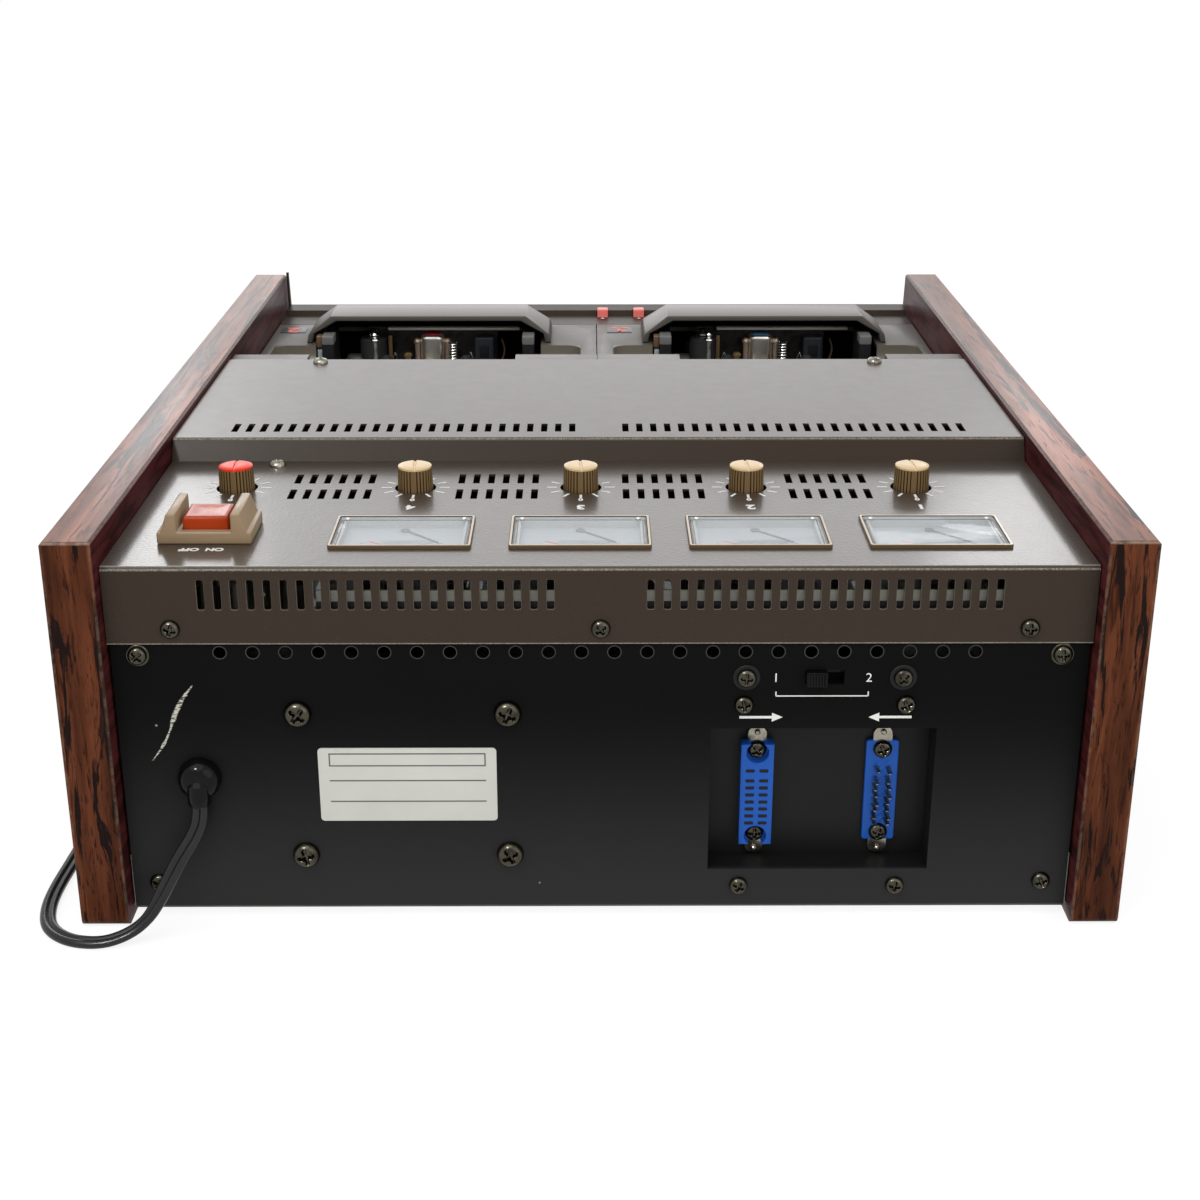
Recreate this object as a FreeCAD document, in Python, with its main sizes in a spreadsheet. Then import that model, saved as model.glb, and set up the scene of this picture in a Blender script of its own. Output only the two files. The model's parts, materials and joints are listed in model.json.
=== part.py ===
# Cassette duplicator: two tape wells, four level meters, five knobs and a rear connector bay
# in a steel case between two wooden side panels.
# Origin: middle of the footprint on the floor. X to the user's right, +Y to the rear, Z up.
import FreeCAD, Part
import math
import os
import re
import Sketcher
from FreeCAD import Placement, Rotation, Vector

doc = FreeCAD.newDocument("cassette_duplicator")

# ---------------------------------------------------------------- driving dimensions, in mm
# A _back, _front or _inset in SIZES is a distance forward of the wood's rear edge.
# A name that ends in _level, _low or _high is a height above the floor.
SIZES = [
    ("past", 1, "how far a cutting block runs past a face"),
    # wooden side panels
    ("case_width", 396, "overall width over the side panels"),
    ("case_depth", 490, "side panel depth at the floor"),
    ("case_height", 156, "side panel height"),
    ("front_setback", 29, "how far the top front corner stands behind the bottom one"),
    ("side_thick", 18, "side panel thickness"),
    ("edge_bevel", 1, "bevel round the top of a side panel"),
    ("foot_round", 3.5, "radius of the lower rear corner"),
    ("side_gap", 0.5, "gap between sheet metal and wood"),
    # base pan and rear panel
    ("base_clear", 4, "floor to base pan"),
    ("pan_thick", 1.2, "base pan sheet"),
    ("pan_wall", 22, "base pan wall height"),
    ("pan_nose", 8, "base pan stands this far behind the bottom front edge"),
    ("panel_inset", 8, "outer face of the rear panel"),
    ("panel_thick", 1.5, "rear panel sheet"),
    ("panel_margin", 1.2, "gap beside the rear panel"),
    ("panel_high", 126, "top edge of the rear panel, under the cover flange"),
    ("hole_radius", 2.5, "round vent holes"),
    ("hole_pitch", 12, "vent hole spacing"),
    ("hole_count", 24, "vent holes in the row"),
    ("hole_row_x", 1, "middle of the vent hole row"),
    ("hole_level", 110.5, "height of the vent hole row"),
    # painted covers
    ("sheet", 1, "cover sheet thickness"),
    ("bend", 1.2, "outer bend of the cover sheet"),
    ("control_level", 144.2, "top of the control cover"),
    ("flange_low", 114.2, "lower edge of the rear flange"),
    ("cover_level", 153, "top of the slotted cover"),
    ("step_back", 134, "foot of the riser"),
    ("step_run", 5, "how far the riser leans"),
    ("riser_thick", 1.2, "riser sheet at its foot, measured forward"),
    ("slot_pitch", 6, "vent slot spacing"),
    ("slot_width", 2.7, "vent slot width"),
    ("slot_length", 12, "vent slot length"),
    ("rear_slots", 22, "slots in each group of the rear flange"),
    ("rear_slot_width", 3.2, "rear slot width"),
    ("rear_slot_low", 127.4, "bottom of the rear slots"),
    ("rear_group_x", 81.1, "middle of a rear slot group from the centre"),
    ("cover_slots", 25, "slots in each group of the slotted cover"),
    ("cover_slot_back", 148, "rear end of the slots"),
    ("cover_group_x", 83.4, "middle of a cover slot group from the centre"),
    ("vent_slots", 6, "slots in a row between the knobs"),
    ("vent_row_back", 103.7, "rear end of the front row of vents"),
    ("vent_row_pitch", 19.8, "distance between the two rows"),
    ("vent_first_x", -92.2, "middle of the first vent group"),
    # knobs, potentiometers, meters
    ("track_first_x", -125.7, "track one knob and meter"),
    ("track_pitch", 66.6, "knob and meter spacing"),
    ("knob_inset", 98.3, "knob row"),
    ("knob_radius", 7.2, "knob skirt"),
    ("knob_high", 154.2, "top of the knob caps"),
    ("knob_skirt_low", 139, "lower end of the knob skirt"),
    ("cap_thick", 1.2, "coloured cap"),
    ("cap_inset", 0.4, "cap rim inside the skirt"),
    ("knob_gap", 1.1, "gap round a knob in its hole"),
    ("shaft_radius", 3, "potentiometer shaft"),
    ("running_gap", 0.05, "radial clearance of every turning shaft"),
    ("pot_width", 16, "potentiometer body"),
    ("pot_tall", 8, "potentiometer body"),
    ("pot_floor", 2, "potentiometer below its shaft"),
    ("bush_radius", 4.5, "potentiometer bush"),
    ("bush_tall", 5, "potentiometer bush"),
    ("board_level", 119, "underside of the circuit board"),
    ("board_thick", 1.6, "circuit board"),
    ("board_half", 150, "half the length of the circuit board"),
    ("board_back", 20, "rear edge of the board"),
    ("board_front", 116, "front edge of the board"),
    ("pillar_radius", 3, "board pillar"),
    ("pillar_margin", 4.5, "pillar axis inside the board's edge"),
    ("meter_inset", 43, "middle of the meters"),
    ("meter_width", 53, "bezel width"),
    ("meter_deep", 34.6, "bezel depth"),
    ("meter_frame", 2.6, "bezel border"),
    ("meter_rise", 1.6, "bezel above the cover"),
    ("meter_case_tall", 20, "meter case below the cover"),
    ("meter_case_rim", 1, "meter case wall"),
    ("meter_lip", 0.8, "bezel reaches this far over its window"),
    ("glass_fit", 0.1, "gap round the meter glass"),
    ("window_fit", 0.3, "gap round a case in its window"),
    ("dial_drop", 3, "dial below the cover"),
    ("glass_thick", 0.8, "meter glass"),
    ("needle_long", 19, "needle from its pivot"),
    ("needle_wide", 0.6, "needle width"),
    ("needle_thick", 0.5, "needle thickness"),
    ("needle_hub", 1.8, "needle hub radius"),
    ("needle_rest", 45, "needle at rest, degrees from straight up the dial"),
    ("pivot_margin", 3.4, "pivot from the front of the dial opening"),
    ("pivot_radius", 0.6, "needle pivot pin"),
    ("pivot_long", 2, "needle pivot pin below its hub"),
    ("axial_gap", 0.3, "end play of turning and sliding pieces"),
    # power switch
    ("power_inset", 44, "middle of the power switch"),
    ("guard_width", 35, "guard over both ears"),
    ("guard_deep", 26, "guard depth"),
    ("guard_rise", 4.5, "guard base above the cover"),
    ("ear_rise", 11.6, "ears above the cover"),
    ("ear_top", 3.4, "ear thickness at the top"),
    ("ear_lean", 4, "outward lean of an ear's outer face"),
    ("button_width", 17, "power button width"),
    ("button_deep", 16.6, "power button depth"),
    ("button_rise", 9.1, "power button above the cover"),
    ("button_gap", 0.4, "gap round a button"),
    ("switch_drop", 18, "switch body below the cover"),
    ("switch_wall", 2, "switch body wall"),
    ("button_root", 6, "power button below the cover"),
    # rear panel fittings
    ("transformer_x", 73.2, "middle of the transformer"),
    ("transformer_level", 56.5, "middle of the transformer"),
    ("bolt_span_x", 77.6, "transformer bolts, across"),
    ("bolt_span_z", 59, "transformer bolts, up"),
    ("bolt_head", 5.2, "transformer bolt head radius"),
    ("bolt_head_tall", 3.4, "transformer bolt head"),
    ("bolt_radius", 2.9, "transformer bolt shank"),
    ("bolt_long", 7, "transformer bolt below its head"),
    ("lug_thick", 2, "transformer mounting frame"),
    ("lug_margin", 8, "frame beyond the bolts"),
    ("core_width", 66, "transformer core, across"),
    ("core_tall", 56, "transformer core, up"),
    ("core_deep", 46, "transformer core, forward"),
    ("coil_width", 44, "transformer winding, across"),
    ("coil_bulge", 10, "winding beyond the core above and below"),
    ("coil_depth", 34, "transformer winding, forward"),
    ("coil_start", 6, "winding behind the mounting frame"),
    ("plate_x", 72.2, "middle of the rating plate"),
    ("plate_level", 56.7, "middle of the rating plate"),
    ("plate_width", 66.6, "rating plate"),
    ("plate_tall", 30.4, "rating plate"),
    ("plate_thick", 0.3, "rating plate"),
    ("plate_round", 1.5, "rating plate corners"),
    ("recess_x", -82.9, "middle of the connector recess"),
    ("recess_width", 84, "connector recess opening"),
    ("recess_low", 20.2, "lower edge of the opening"),
    ("recess_high", 79.6, "upper edge of the opening"),
    ("recess_deep", 12, "back wall behind the panel"),
    ("recess_wall", 1.2, "recess sheet"),
    ("recess_screw_x", 30, "recess screws either side of its middle"),
    ("recess_screw_low", 13.2, "lower recess screws"),
    ("recess_screw_high", 89.4, "upper recess screws"),
    ("recess_lip", 5, "recess flange below its lower screws"),
    ("recess_crown", 4, "recess flange above its upper screws"),
    ("connector_level", 48, "middle of both connectors"),
    ("connector_tall", 42.4, "connector body"),
    ("connector_width", 12.4, "connector body"),
    ("socket_x", 23.5, "socket connector from the recess middle"),
    ("pins_x", -24.3, "pin connector from the recess middle"),
    ("socket_proud", 6, "socket body above the back wall"),
    ("pins_proud", 2.2, "pin body above the back wall"),
    ("connector_tail", 7, "connector behind the back wall"),
    ("tail_width", 9, "connector tail width"),
    ("tail_tall", 27, "connector tail height"),
    ("contact_pitch", 3, "contact rows"),
    ("contact_rows", 8, "contact rows"),
    ("contact_step", 1.2, "the top row stands this much further off"),
    ("contact_foot", 12, "lowest row below the connector's middle"),
    ("contact_column", 4.8, "contact columns apart"),
    ("contact_wide", 2.6, "contact slot"),
    ("contact_slit", 0.9, "contact slot"),
    ("contact_deep", 4, "contact slot"),
    ("pin_long", 6.5, "contact pins above the body"),
    ("pin_thick", 0.6, "contact pins"),
    ("pin_wide", 1.8, "contact pins"),
    ("tail_gap", 0.2, "gap round a connector tail"),
    ("latch_span", 35.4, "connector screws apart"),
    ("latch_radius", 4.3, "notch round a connector screw"),
    ("select_x", -82.4, "middle of the slide switch"),
    ("select_level", 100.3, "slide switch"),
    ("select_slot", 14.4, "slide switch slot length"),
    ("select_tall", 6, "slide switch slot height"),
    ("select_knob", 7.8, "slide switch knob"),
    ("select_rest", 3.1, "knob at rest from the middle of its slot"),
    ("select_gap", 0.2, "knob clearance in its slot"),
    ("select_proud", 3.6, "knob in front of the panel"),
    ("select_root", 4, "knob behind the panel"),
    ("select_screw", 28.8, "slide switch screws either side of its middle"),
    ("select_lug", 3.6, "slide switch plate beyond its screws"),
    ("select_plate", 1.2, "slide switch plate"),
    ("select_body", 11, "slide switch body behind the panel"),
    ("select_width", 26, "slide switch body"),
    ("select_high", 12, "slide switch body and plate"),
    ("relief_x", 149.9, "strain relief"),
    ("relief_level", 60, "strain relief"),
    ("relief_radius", 8.2, "strain relief head"),
    ("relief_proud", 7.2, "strain relief head"),
    ("relief_rim", 3, "straight part of the strain relief head"),
    ("relief_face", 5, "radius of the strain relief's outer face"),
    ("relief_nose", 4.2, "downward nose of the strain relief"),
    ("relief_axis", 3.4, "nose axis forward of the wood's rear edge"),
    ("relief_drop", 9, "nose below the relief's middle"),
    ("relief_neck", 6, "strain relief neck"),
    ("relief_tail", 6, "strain relief behind the panel"),
    ("relief_grip", 7.2, "strain relief behind the panel"),
    # screws
    ("screw_head", 3.6, "pan head radius"),
    ("screw_head_tall", 2.3, "pan head"),
    ("head_taper", 0.7, "top of a domed head as a share of its radius"),
    ("screw_radius", 1.9, "screw shank"),
    ("screw_long", 5.5, "screw below its head"),
    ("hole_gap", 0.1, "radial clearance of a screw hole"),
    ("flange_screw_level", 120.2, "rear flange screws"),
    ("corner_screw_low", 15.1, "rear panel corner screws"),
    ("corner_screw_high", 109.6, "rear panel corner screws"),
    ("cover_screw_x", 134.3, "slotted cover screws"),
    ("lone_screw_inset", 127.9, "screw on the control cover"),
    # deck panels and front panel
    ("deck_level", 134.4, "deck surface"),
    ("deck_wall", 2.4, "deck moulding thickness"),
    ("deck_tuck", 10.7, "deck strip under the slotted cover"),
    ("split_gap", 0.4, "gap between the two deck panels"),
    ("well_shift", 1.65, "well centre outward of its deck panel's middle"),
    ("tub_half", 51, "half the inside width of a well"),
    ("seat_level", 122, "well floor"),
    ("opening_half", 61, "half the deck opening in front of the well floor"),
    ("scoop_outer", 5, "outer finger scoop from the deck panel's outer end"),
    ("scoop_inner", 8.3, "inner finger scoop from the deck panel's inner end"),
    ("rail_level", 138, "top of the front rail"),
    ("rail_rise", 2.7, "run of the rail's rear face"),
    ("rail_round", 1.5, "bend at the front of the rail"),
    ("rail_crest", 1, "rise of the rail's top towards the front"),
    ("front_inset", 0.5, "front panel behind the wood's front edge"),
    ("front_thick", 2, "front panel sheet"),
    ("front_low", 5, "lower edge of the front panel"),
    ("ear_high", 157.5, "end ear of the front panel"),
    ("ear_sheet", 1.2, "end ear of the front panel"),
    ("ear_deep", 2.4, "end ear of the front panel"),
    # head hoods
    ("hood_half", 66.6, "half the hood's foot"),
    ("hood_shoulder", 65.5, "half the hood's width at its shoulder"),
    ("hood_crown", 53, "half the hood's width at its top"),
    ("shoulder_level", 139.3, "hood shoulder"),
    ("hood_level", 149.3, "top of the hood"),
    ("hood_wall", 3, "hood wall"),
    # transport
    ("frame_level", 111.5, "top of the transport frame"),
    ("frame_thick", 2, "transport frame plate"),
    ("shelf_level", 72, "top of the frame's lower shelf"),
    ("leg_thick", 1.5, "transport frame legs"),
    ("post_inner", 51, "guide posts' inner faces from the well centre"),
    ("post_width", 6.5, "guide post"),
    ("post_high", 140, "guide post"),
    ("boss_radius", 3, "shaft bosses on the transport frame"),
    ("boss_tall", 5, "shaft bosses on the transport frame"),
    ("capstan_x", 30, "capstan from the well centre"),
    ("capstan_radius", 1.25, "capstan"),
    ("capstan_high", 138, "capstan tip"),
    ("flywheel_radius", 30, "flywheel"),
    ("flywheel_low", 84, "flywheel"),
    ("flywheel_tall", 9, "flywheel"),
    ("motor_x", 30, "drive motor"),
    ("motor_radius", 18, "drive motor"),
    ("motor_tall", 32, "drive motor"),
    ("pulley_radius", 6, "motor pulley"),
    ("pulley_shaft", 1, "motor shaft"),
    ("belt_thick", 0.9, "drive belt"),
    ("belt_tall", 4, "drive belt"),
    ("belt_gap", 0.1, "belt clear of the wheels"),
    ("carriage_half", 46, "half the head carriage"),
    ("carriage_thick", 1.5, "head carriage plate"),
    ("shield_thick", 1, "upright plate behind the heads"),
    ("shield_high", 137, "upright plate behind the heads"),
    ("shield_half", 36, "upright plate behind the heads"),
    ("head_half", 6.9, "half the head's width"),
    ("head_deep", 8, "head"),
    ("head_high", 134.3, "head"),
    ("head_base", 16, "half the head mount"),
    ("mount_tall", 5.5, "head mount"),
    ("erase_x", -32.4, "erase head from the well centre"),
    ("erase_half", 5.5, "half the erase head"),
    ("erase_high", 133, "erase head"),
    ("spring_x", -12, "azimuth spring from the well centre"),
    ("spring_radius", 2.7, "azimuth spring"),
    ("spring_wall", 1, "azimuth spring wire"),
    ("spring_screw", 1.3, "azimuth screw"),
    ("spring_high", 132.4, "azimuth spring"),
    ("roller_x", 32.6, "pinch roller from the well centre"),
    ("roller_radius", 7.2, "pinch roller"),
    ("roller_low", 121, "pinch roller"),
    ("roller_tall", 12, "pinch roller"),
    ("roller_collar", 3.2, "collar under the pinch roller"),
    ("axle_radius", 1.5, "pinch roller axle and reel pins"),
    ("axle_high", 137.6, "pinch roller axle"),
    ("hub_x", 21.25, "reel spindles from the well centre"),
    ("hub_disc", 10, "reel turntable"),
    ("disc_thick", 2, "reel turntable"),
    ("hub_core", 3.2, "reel spindle"),
    ("hub_fin", 4.6, "reel spindle over its fins"),
    ("hub_fin_thick", 1.2, "reel spindle fin"),
    ("hub_high", 132.5, "reel spindle"),
    ("hub_tip", 2, "taper at the top of a reel spindle"),
    ("hub_pin", 6.5, "reel pin below its turntable"),
    # push buttons
    ("red_first_x", -3.7, "first red button"),
    ("red_pitch", -20.8, "second red button from the first"),
    ("red_width", 6.2, "red button"),
    ("red_deep", 7.4, "red button"),
    ("red_high", 138.6, "red button"),
    ("red_drop", 8, "red button foot below the deck"),
    ("red_rim", 1.5, "red button foot beyond its stem"),
    ("key_pitch", 34, "front buttons"),
    ("key_width", 26, "front buttons"),
    ("key_tall", 17, "front buttons"),
    ("key_proud", 4, "front buttons"),
    ("key_tail", 8, "front buttons behind the panel"),
    ("key_rim", 1.5, "front button collar"),
    ("key_level", 92, "front buttons"),
    # mains cord
    ("cord_radius", 3.1, "half the width of the two-core cord"),
    ("coil_clear", 10, "the put-away coil clear of the side panel"),
    ("coil_inset", 352, "middle of the put-away coil"),
    ("coil_outer", 46, "coil"),
    ("coil_inner", 25.4, "coil"),
    ("coil_tall", 10, "coil, three turns high"),
    ("coil_end", 14, "where the cord joins the coil, behind its middle"),
    ("coil_gap", 0.7, "coil clear of the cord's side"),
    ("plug_long", 30, "plug body"),
    ("plug_wide", 19, "plug body"),
    ("plug_tall", 14, "plug body"),
    ("blade_long", 17, "plug blades"),
    ("blade_wide", 6.3, "plug blades"),
    ("blade_thick", 1.5, "plug blades"),
    ("blade_apart", 12.7, "plug blades"),
]
# Distances behind the top front corner of the wood.
FRONT_SIZES = [
    ("cover_front", 188.3, "front edge of the slotted cover"),
    ("cover_screw_inset", 194.4, "slotted cover screws"),
    ("deck_back", 174.4, "front face of the deck riser"),
    ("deck_front", 34.7, "front edge of the deck"),
    ("tub_back", 186, "rear end of a well"),
    ("tub_front", 126, "front end of the well floor"),
    ("opening_front", 41, "front end of the deck opening"),
    ("scoop_back", 123, "rear end of a scoop"),
    ("scoop_front", 84, "front end of a scoop"),
    ("rail_back", 12.7, "rear foot of the front rail"),
    ("hood_back", 79, "open rear end of the hood"),
    ("hood_crest", 50, "front end of the hood's flat top"),
    ("hood_foot", 37, "front foot of the hood"),
    ("frame_back", 161, "rear leg of the transport frame"),
    ("frame_front", 36, "front leg of the transport frame"),
    ("post_back", 87, "guide post"),
    ("post_front", 61, "guide post"),
    ("capstan_inset", 74.6, "capstan"),
    ("motor_inset", 131, "drive motor"),
    ("carriage_back", 63, "head carriage"),
    ("carriage_front", 45, "head carriage"),
    ("shield_back", 50.5, "upright plate behind the heads"),
    ("head_back", 60, "front face of the head, where the tape runs"),
    ("mount_back", 67, "rear edge of the head mount"),
    ("erase_back", 61, "erase head"),
    ("spring_inset", 63.7, "azimuth spring"),
    ("roller_inset", 59, "pinch roller"),
    ("hub_inset", 98.8, "reel spindles"),
    ("red_back", 16.4, "red button"),
]
# Distances inward of a side panel.
SIDE_SIZES = [
    ("master_x", 34.1, "master knob"),
    ("power_x", 33.6, "power switch"),
    ("flange_screw_x", 24, "rear flange screws"),
    ("corner_screw_x", 11, "rear panel corner screws"),
    ("frame_half", 18, "half the transport frame's width"),
]

sheet = doc.addObject("Spreadsheet::Sheet", "Sizes")
for row, (word, number, note) in enumerate(SIZES + FRONT_SIZES + SIDE_SIZES, 1):
    sheet.set(f"A{row}", note)
    sheet.set(f"B{row}", str(number))
    sheet.setAlias(f"B{row}", word)
doc.recompute()
TERMS = {word: f"Sizes.{word}" for word, number, note in SIZES}
for word, number, note in FRONT_SIZES:
    TERMS[word] = f"(Sizes.case_depth-Sizes.front_setback-Sizes.{word})"
for word, number, note in SIDE_SIZES:
    TERMS[word] = f"(Sizes.case_width/2-Sizes.side_thick-Sizes.{word})"


def value(word):
    """The number in the sheet's cell with this alias."""
    return float(sheet.get(word))


def count(word):
    return int(round(value(word)))


# ---------------------------------------------------------------- helpers
def formula(text):
    """A formula with its words as cells; front and side distances become plain insets and X places."""
    return re.sub(r"[A-Za-z_]\w*", lambda m: TERMS.get(m[0], m[0]), text)


def bind(obj, **properties):
    """Ties properties to formulas; a double underscore stands for a dot."""
    for name, text in properties.items():
        obj.setExpression(name.replace("__", "."), formula(str(text)))
    return obj


def make(kind, name):
    return doc.addObject(kind, name)


def block(x, y, z, name="block"):
    """A box from (low, high) pairs."""
    box = make("Part::Box", name)
    for side, axis, (low, high) in zip(("Length", "Width", "Height"), "xyz", (x, y, z)):
        bind(box, **{side: f"({high})-({low})", f"Placement__Base__{axis}": low})
    return box


TURNS = {
    "x": Rotation(Vector(0, 1, 0), 90),
    "y": Rotation(Vector(1, 0, 0), -90),
    "z": Rotation(),
}


def along(obj, axis, at, low):
    """Puts a cylinder or cone along an axis: at holds the other two coordinates, in order."""
    obj.Placement = Placement(Vector(), TURNS[axis])
    others = [a for a in "xyz" if a != axis]
    places = dict(zip(others, at))
    places[axis] = low
    return bind(obj, **{f"Placement__Base__{a}": text for a, text in places.items()})


def rod(axis, at, span, radius, name="rod"):
    low, high = span
    cylinder = bind(make("Part::Cylinder", name), Radius=radius, Height=f"({high})-({low})")
    return along(cylinder, axis, at, low)


def cone(axis, at, span, low_radius, high_radius, name="cone"):
    low, high = span
    taper = make("Part::Cone", name)
    bind(taper, Radius1=low_radius, Radius2=high_radius, Height=f"({high})-({low})")
    return along(taper, axis, at, low)


def group(*parts, name="group"):
    compound = make("Part::Compound", name)
    compound.Links = list(parts)
    return compound


def fuse(*parts, name="joined"):
    joined = make("Part::MultiFuse", name)
    joined.Shapes = list(parts)
    joined.Refine = True
    return joined


def cut(base, *tools, name="cut"):
    result = make("Part::Cut", name)
    result.Base = base
    result.Tool = tools[0] if len(tools) == 1 else group(*tools, name=f"{name}_tools")
    return result


def common(first, second, name="common"):
    result = make("Part::Common", name)
    result.Base = first
    result.Tool = second
    return result


def prism(name, plane, points, start, length):
    """A body padded from a closed outline; each point is a pair of formulas."""
    body = make("PartDesign::Body", name)
    sketch = body.newObject("Sketcher::SketchObject", f"{name}_outline")
    origin = next(f for f in body.Origin.OriginFeatures if f.Role == plane)
    sketch.AttachmentSupport = [(origin, "")]
    sketch.MapMode = "FlatFace"
    corners = len(points)
    turns = [i * 2 * math.pi / corners for i in range(corners)]
    ring = [Vector(math.cos(turn), math.sin(turn), 0) * 10 for turn in turns]
    for i in range(corners):
        sketch.addGeometry(Part.LineSegment(ring[i], ring[(i + 1) % corners]))
    for i in range(corners):
        sketch.addConstraint(Sketcher.Constraint("Coincident", i, 2, (i + 1) % corners, 1))
    for i, point in enumerate(points):
        for kind, text in zip(("DistanceX", "DistanceY"), point):
            index = sketch.addConstraint(Sketcher.Constraint(kind, -1, 1, i, 1, 1.0))
            sketch.setExpression(f"Constraints[{index}]", formula(text))
    sketch.setExpression("AttachmentOffset.Base.z", formula(start))
    pad = body.newObject("PartDesign::Pad", f"{name}_pad")
    pad.Profile = sketch
    bind(pad, Length=length)
    return body


def dress(body, kind, size, test):
    """Adds a Fillet or Chamfer to the body's edges whose bounds pass the test."""
    doc.recompute()
    before = body.Tip
    whole = before.Shape.BoundBox
    edges = [f"Edge{i}" for i, e in enumerate(before.Shape.Edges, 1) if test(e.BoundBox, whole)]
    feature = body.newObject(f"PartDesign::{kind}", f"{body.Name}_{kind.lower()}")
    feature.Base = (before, edges)
    bind(feature, **{"Radius" if kind == "Fillet" else "Size": size})
    return body


nodes = {}


def node(name, obj):
    """Names a finished sub-part; its file gets the same name."""
    obj.Label = name
    nodes[name] = obj
    return obj


def y_at(inset):
    """The Y coordinate of a distance forward of the rear edge."""
    return f"(case_depth/2-({inset}))"


def ahead(back, front):
    """A (low, high) pair in Y from two distances forward of the rear edge."""
    return y_at(front), y_at(back)


def middle(centre, width):
    return f"({centre})-({width})/2", f"({centre})+({width})/2"


def grown(pair, by):
    return f"({pair[0]})-({by})", f"({pair[1]})+({by})"


NEAR = 0.01
INSIDE = "(case_width/2-side_thick)"
TRACKS = [f"(track_first_x+{i}*track_pitch)" for i in range(4)]
DECK_INNER, DECK_OUTER = "(split_gap/2)", f"({INSIDE}-side_gap)"
WELL = f"(({DECK_INNER}+{DECK_OUTER})/2+well_shift)"
WELLS = {"right": WELL, "left": f"(-{WELL})"}


def front_line(level):
    """The wood's sloping front edge at a height, forward of the rear edge."""
    return f"(case_depth-front_setback*({level})/case_height)"


# ---------------------------------------------------------------- wooden side panels
def side_panel(name, start):
    outline = [
        (y_at("case_depth"), "0"),
        (y_at("0"), "0"),
        (y_at("0"), "case_height"),
        (y_at(front_line("case_height")), "case_height"),
    ]
    body = prism(name, "YZ_Plane", outline, start, "side_thick")
    dress(body, "Chamfer", "edge_bevel", lambda e, whole: e.ZMin > whole.ZMax - NEAR)
    dress(body, "Fillet", "foot_round", lambda e, whole: e.ZMax < NEAR and e.YMin > whole.YMax - NEAR)
    return node(name, body)


side_panel("side_panel_right", INSIDE)
side_panel("side_panel_left", "-case_width/2")


# ---------------------------------------------------------------- screws and their holes
REAR_SCREWS = {
    "flange": [("-flange_screw_x", "flange_screw_level"), ("0", "flange_screw_level"),
               ("flange_screw_x", "flange_screw_level")],
    "corner_low": [("-corner_screw_x", "corner_screw_low"), ("corner_screw_x", "corner_screw_low")],
    "corner_high": [("-corner_screw_x", "corner_screw_high"), ("corner_screw_x", "corner_screw_high")],
    "recess": [(f"recess_x+{side}*recess_screw_x", level)
               for side in (-1, 1) for level in ("recess_screw_low", "recess_screw_high")],
    "select": [(f"select_x+{side}*select_screw", "select_level") for side in (-1, 1)],
}
BOLTS = [(f"transformer_x+{a}*bolt_span_x/2", f"transformer_level+{b}*bolt_span_z/2")
         for a in (-1, 1) for b in (-1, 1)]
LATCHES = [(f"recess_x+{x}", f"connector_level+{b}*latch_span/2")
           for x in ("socket_x", "pins_x") for b in (-1, 1)]
COVER_SCREWS = [("cover_screw_x", "cover_screw_inset"), ("-cover_screw_x", "cover_screw_inset")]
LONE_SCREW = [("cover_screw_x", "lone_screw_inset")]


def rear_screws(places, seat, head="screw_head", tall="screw_head_tall",
                shank="screw_radius", long="screw_long"):
    """Screws driven forward into a face at that inset; each head has a lower rim and a domed top."""
    made = []
    for at in places:
        rim = rod("y", at, ahead(f"{seat}-{tall}/2", seat), head)
        dome = cone("y", at, ahead(f"{seat}-{tall}", f"{seat}-{tall}/2"), head, f"{head}*head_taper")
        stem = rod("y", at, ahead(seat, f"{seat}+{long}"), shank)
        made.append(fuse(rim, dome, stem, name="rear_screw"))
    return made


def top_screws(places, seat):
    """Screws driven down into a face at that height."""
    made = []
    for x, inset in places:
        at = (x, y_at(inset))
        rim = rod("z", at, (seat, f"{seat}+screw_head_tall/2"), "screw_head")
        dome = cone("z", at, (f"{seat}+screw_head_tall/2", f"{seat}+screw_head_tall"),
                    "screw_head", "screw_head*head_taper")
        stem = rod("z", at, (f"{seat}-screw_long", seat), "screw_radius")
        made.append(fuse(rim, dome, stem, name="top_screw"))
    return made


def rear_holes(places, back, front, shank="screw_radius"):
    return [rod("y", at, ahead(back, front), f"{shank}+hole_gap") for at in places]


def top_holes(places, low, high):
    return [rod("z", (x, y_at(inset)), (low, high), "screw_radius+hole_gap") for x, inset in places]


FLANGE_INSET = "(panel_inset-sheet)"
LATCH_SEAT = "(panel_inset+panel_thick+recess_deep-pins_proud)"
PANEL_FRONT = "(panel_inset+panel_thick)"
node("screws", group(
    *rear_screws(REAR_SCREWS["flange"], FLANGE_INSET),
    *rear_screws(REAR_SCREWS["corner_low"] + REAR_SCREWS["corner_high"], "panel_inset"),
    *rear_screws(REAR_SCREWS["recess"] + REAR_SCREWS["select"], "panel_inset"),
    *rear_screws(LATCHES, LATCH_SEAT),
    *rear_screws(BOLTS, "panel_inset", "bolt_head", "bolt_head_tall", "bolt_radius", "bolt_long"),
    *top_screws(COVER_SCREWS, "cover_level"),
    *top_screws(LONE_SCREW, "control_level"),
    name="all_screws",
))


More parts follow.
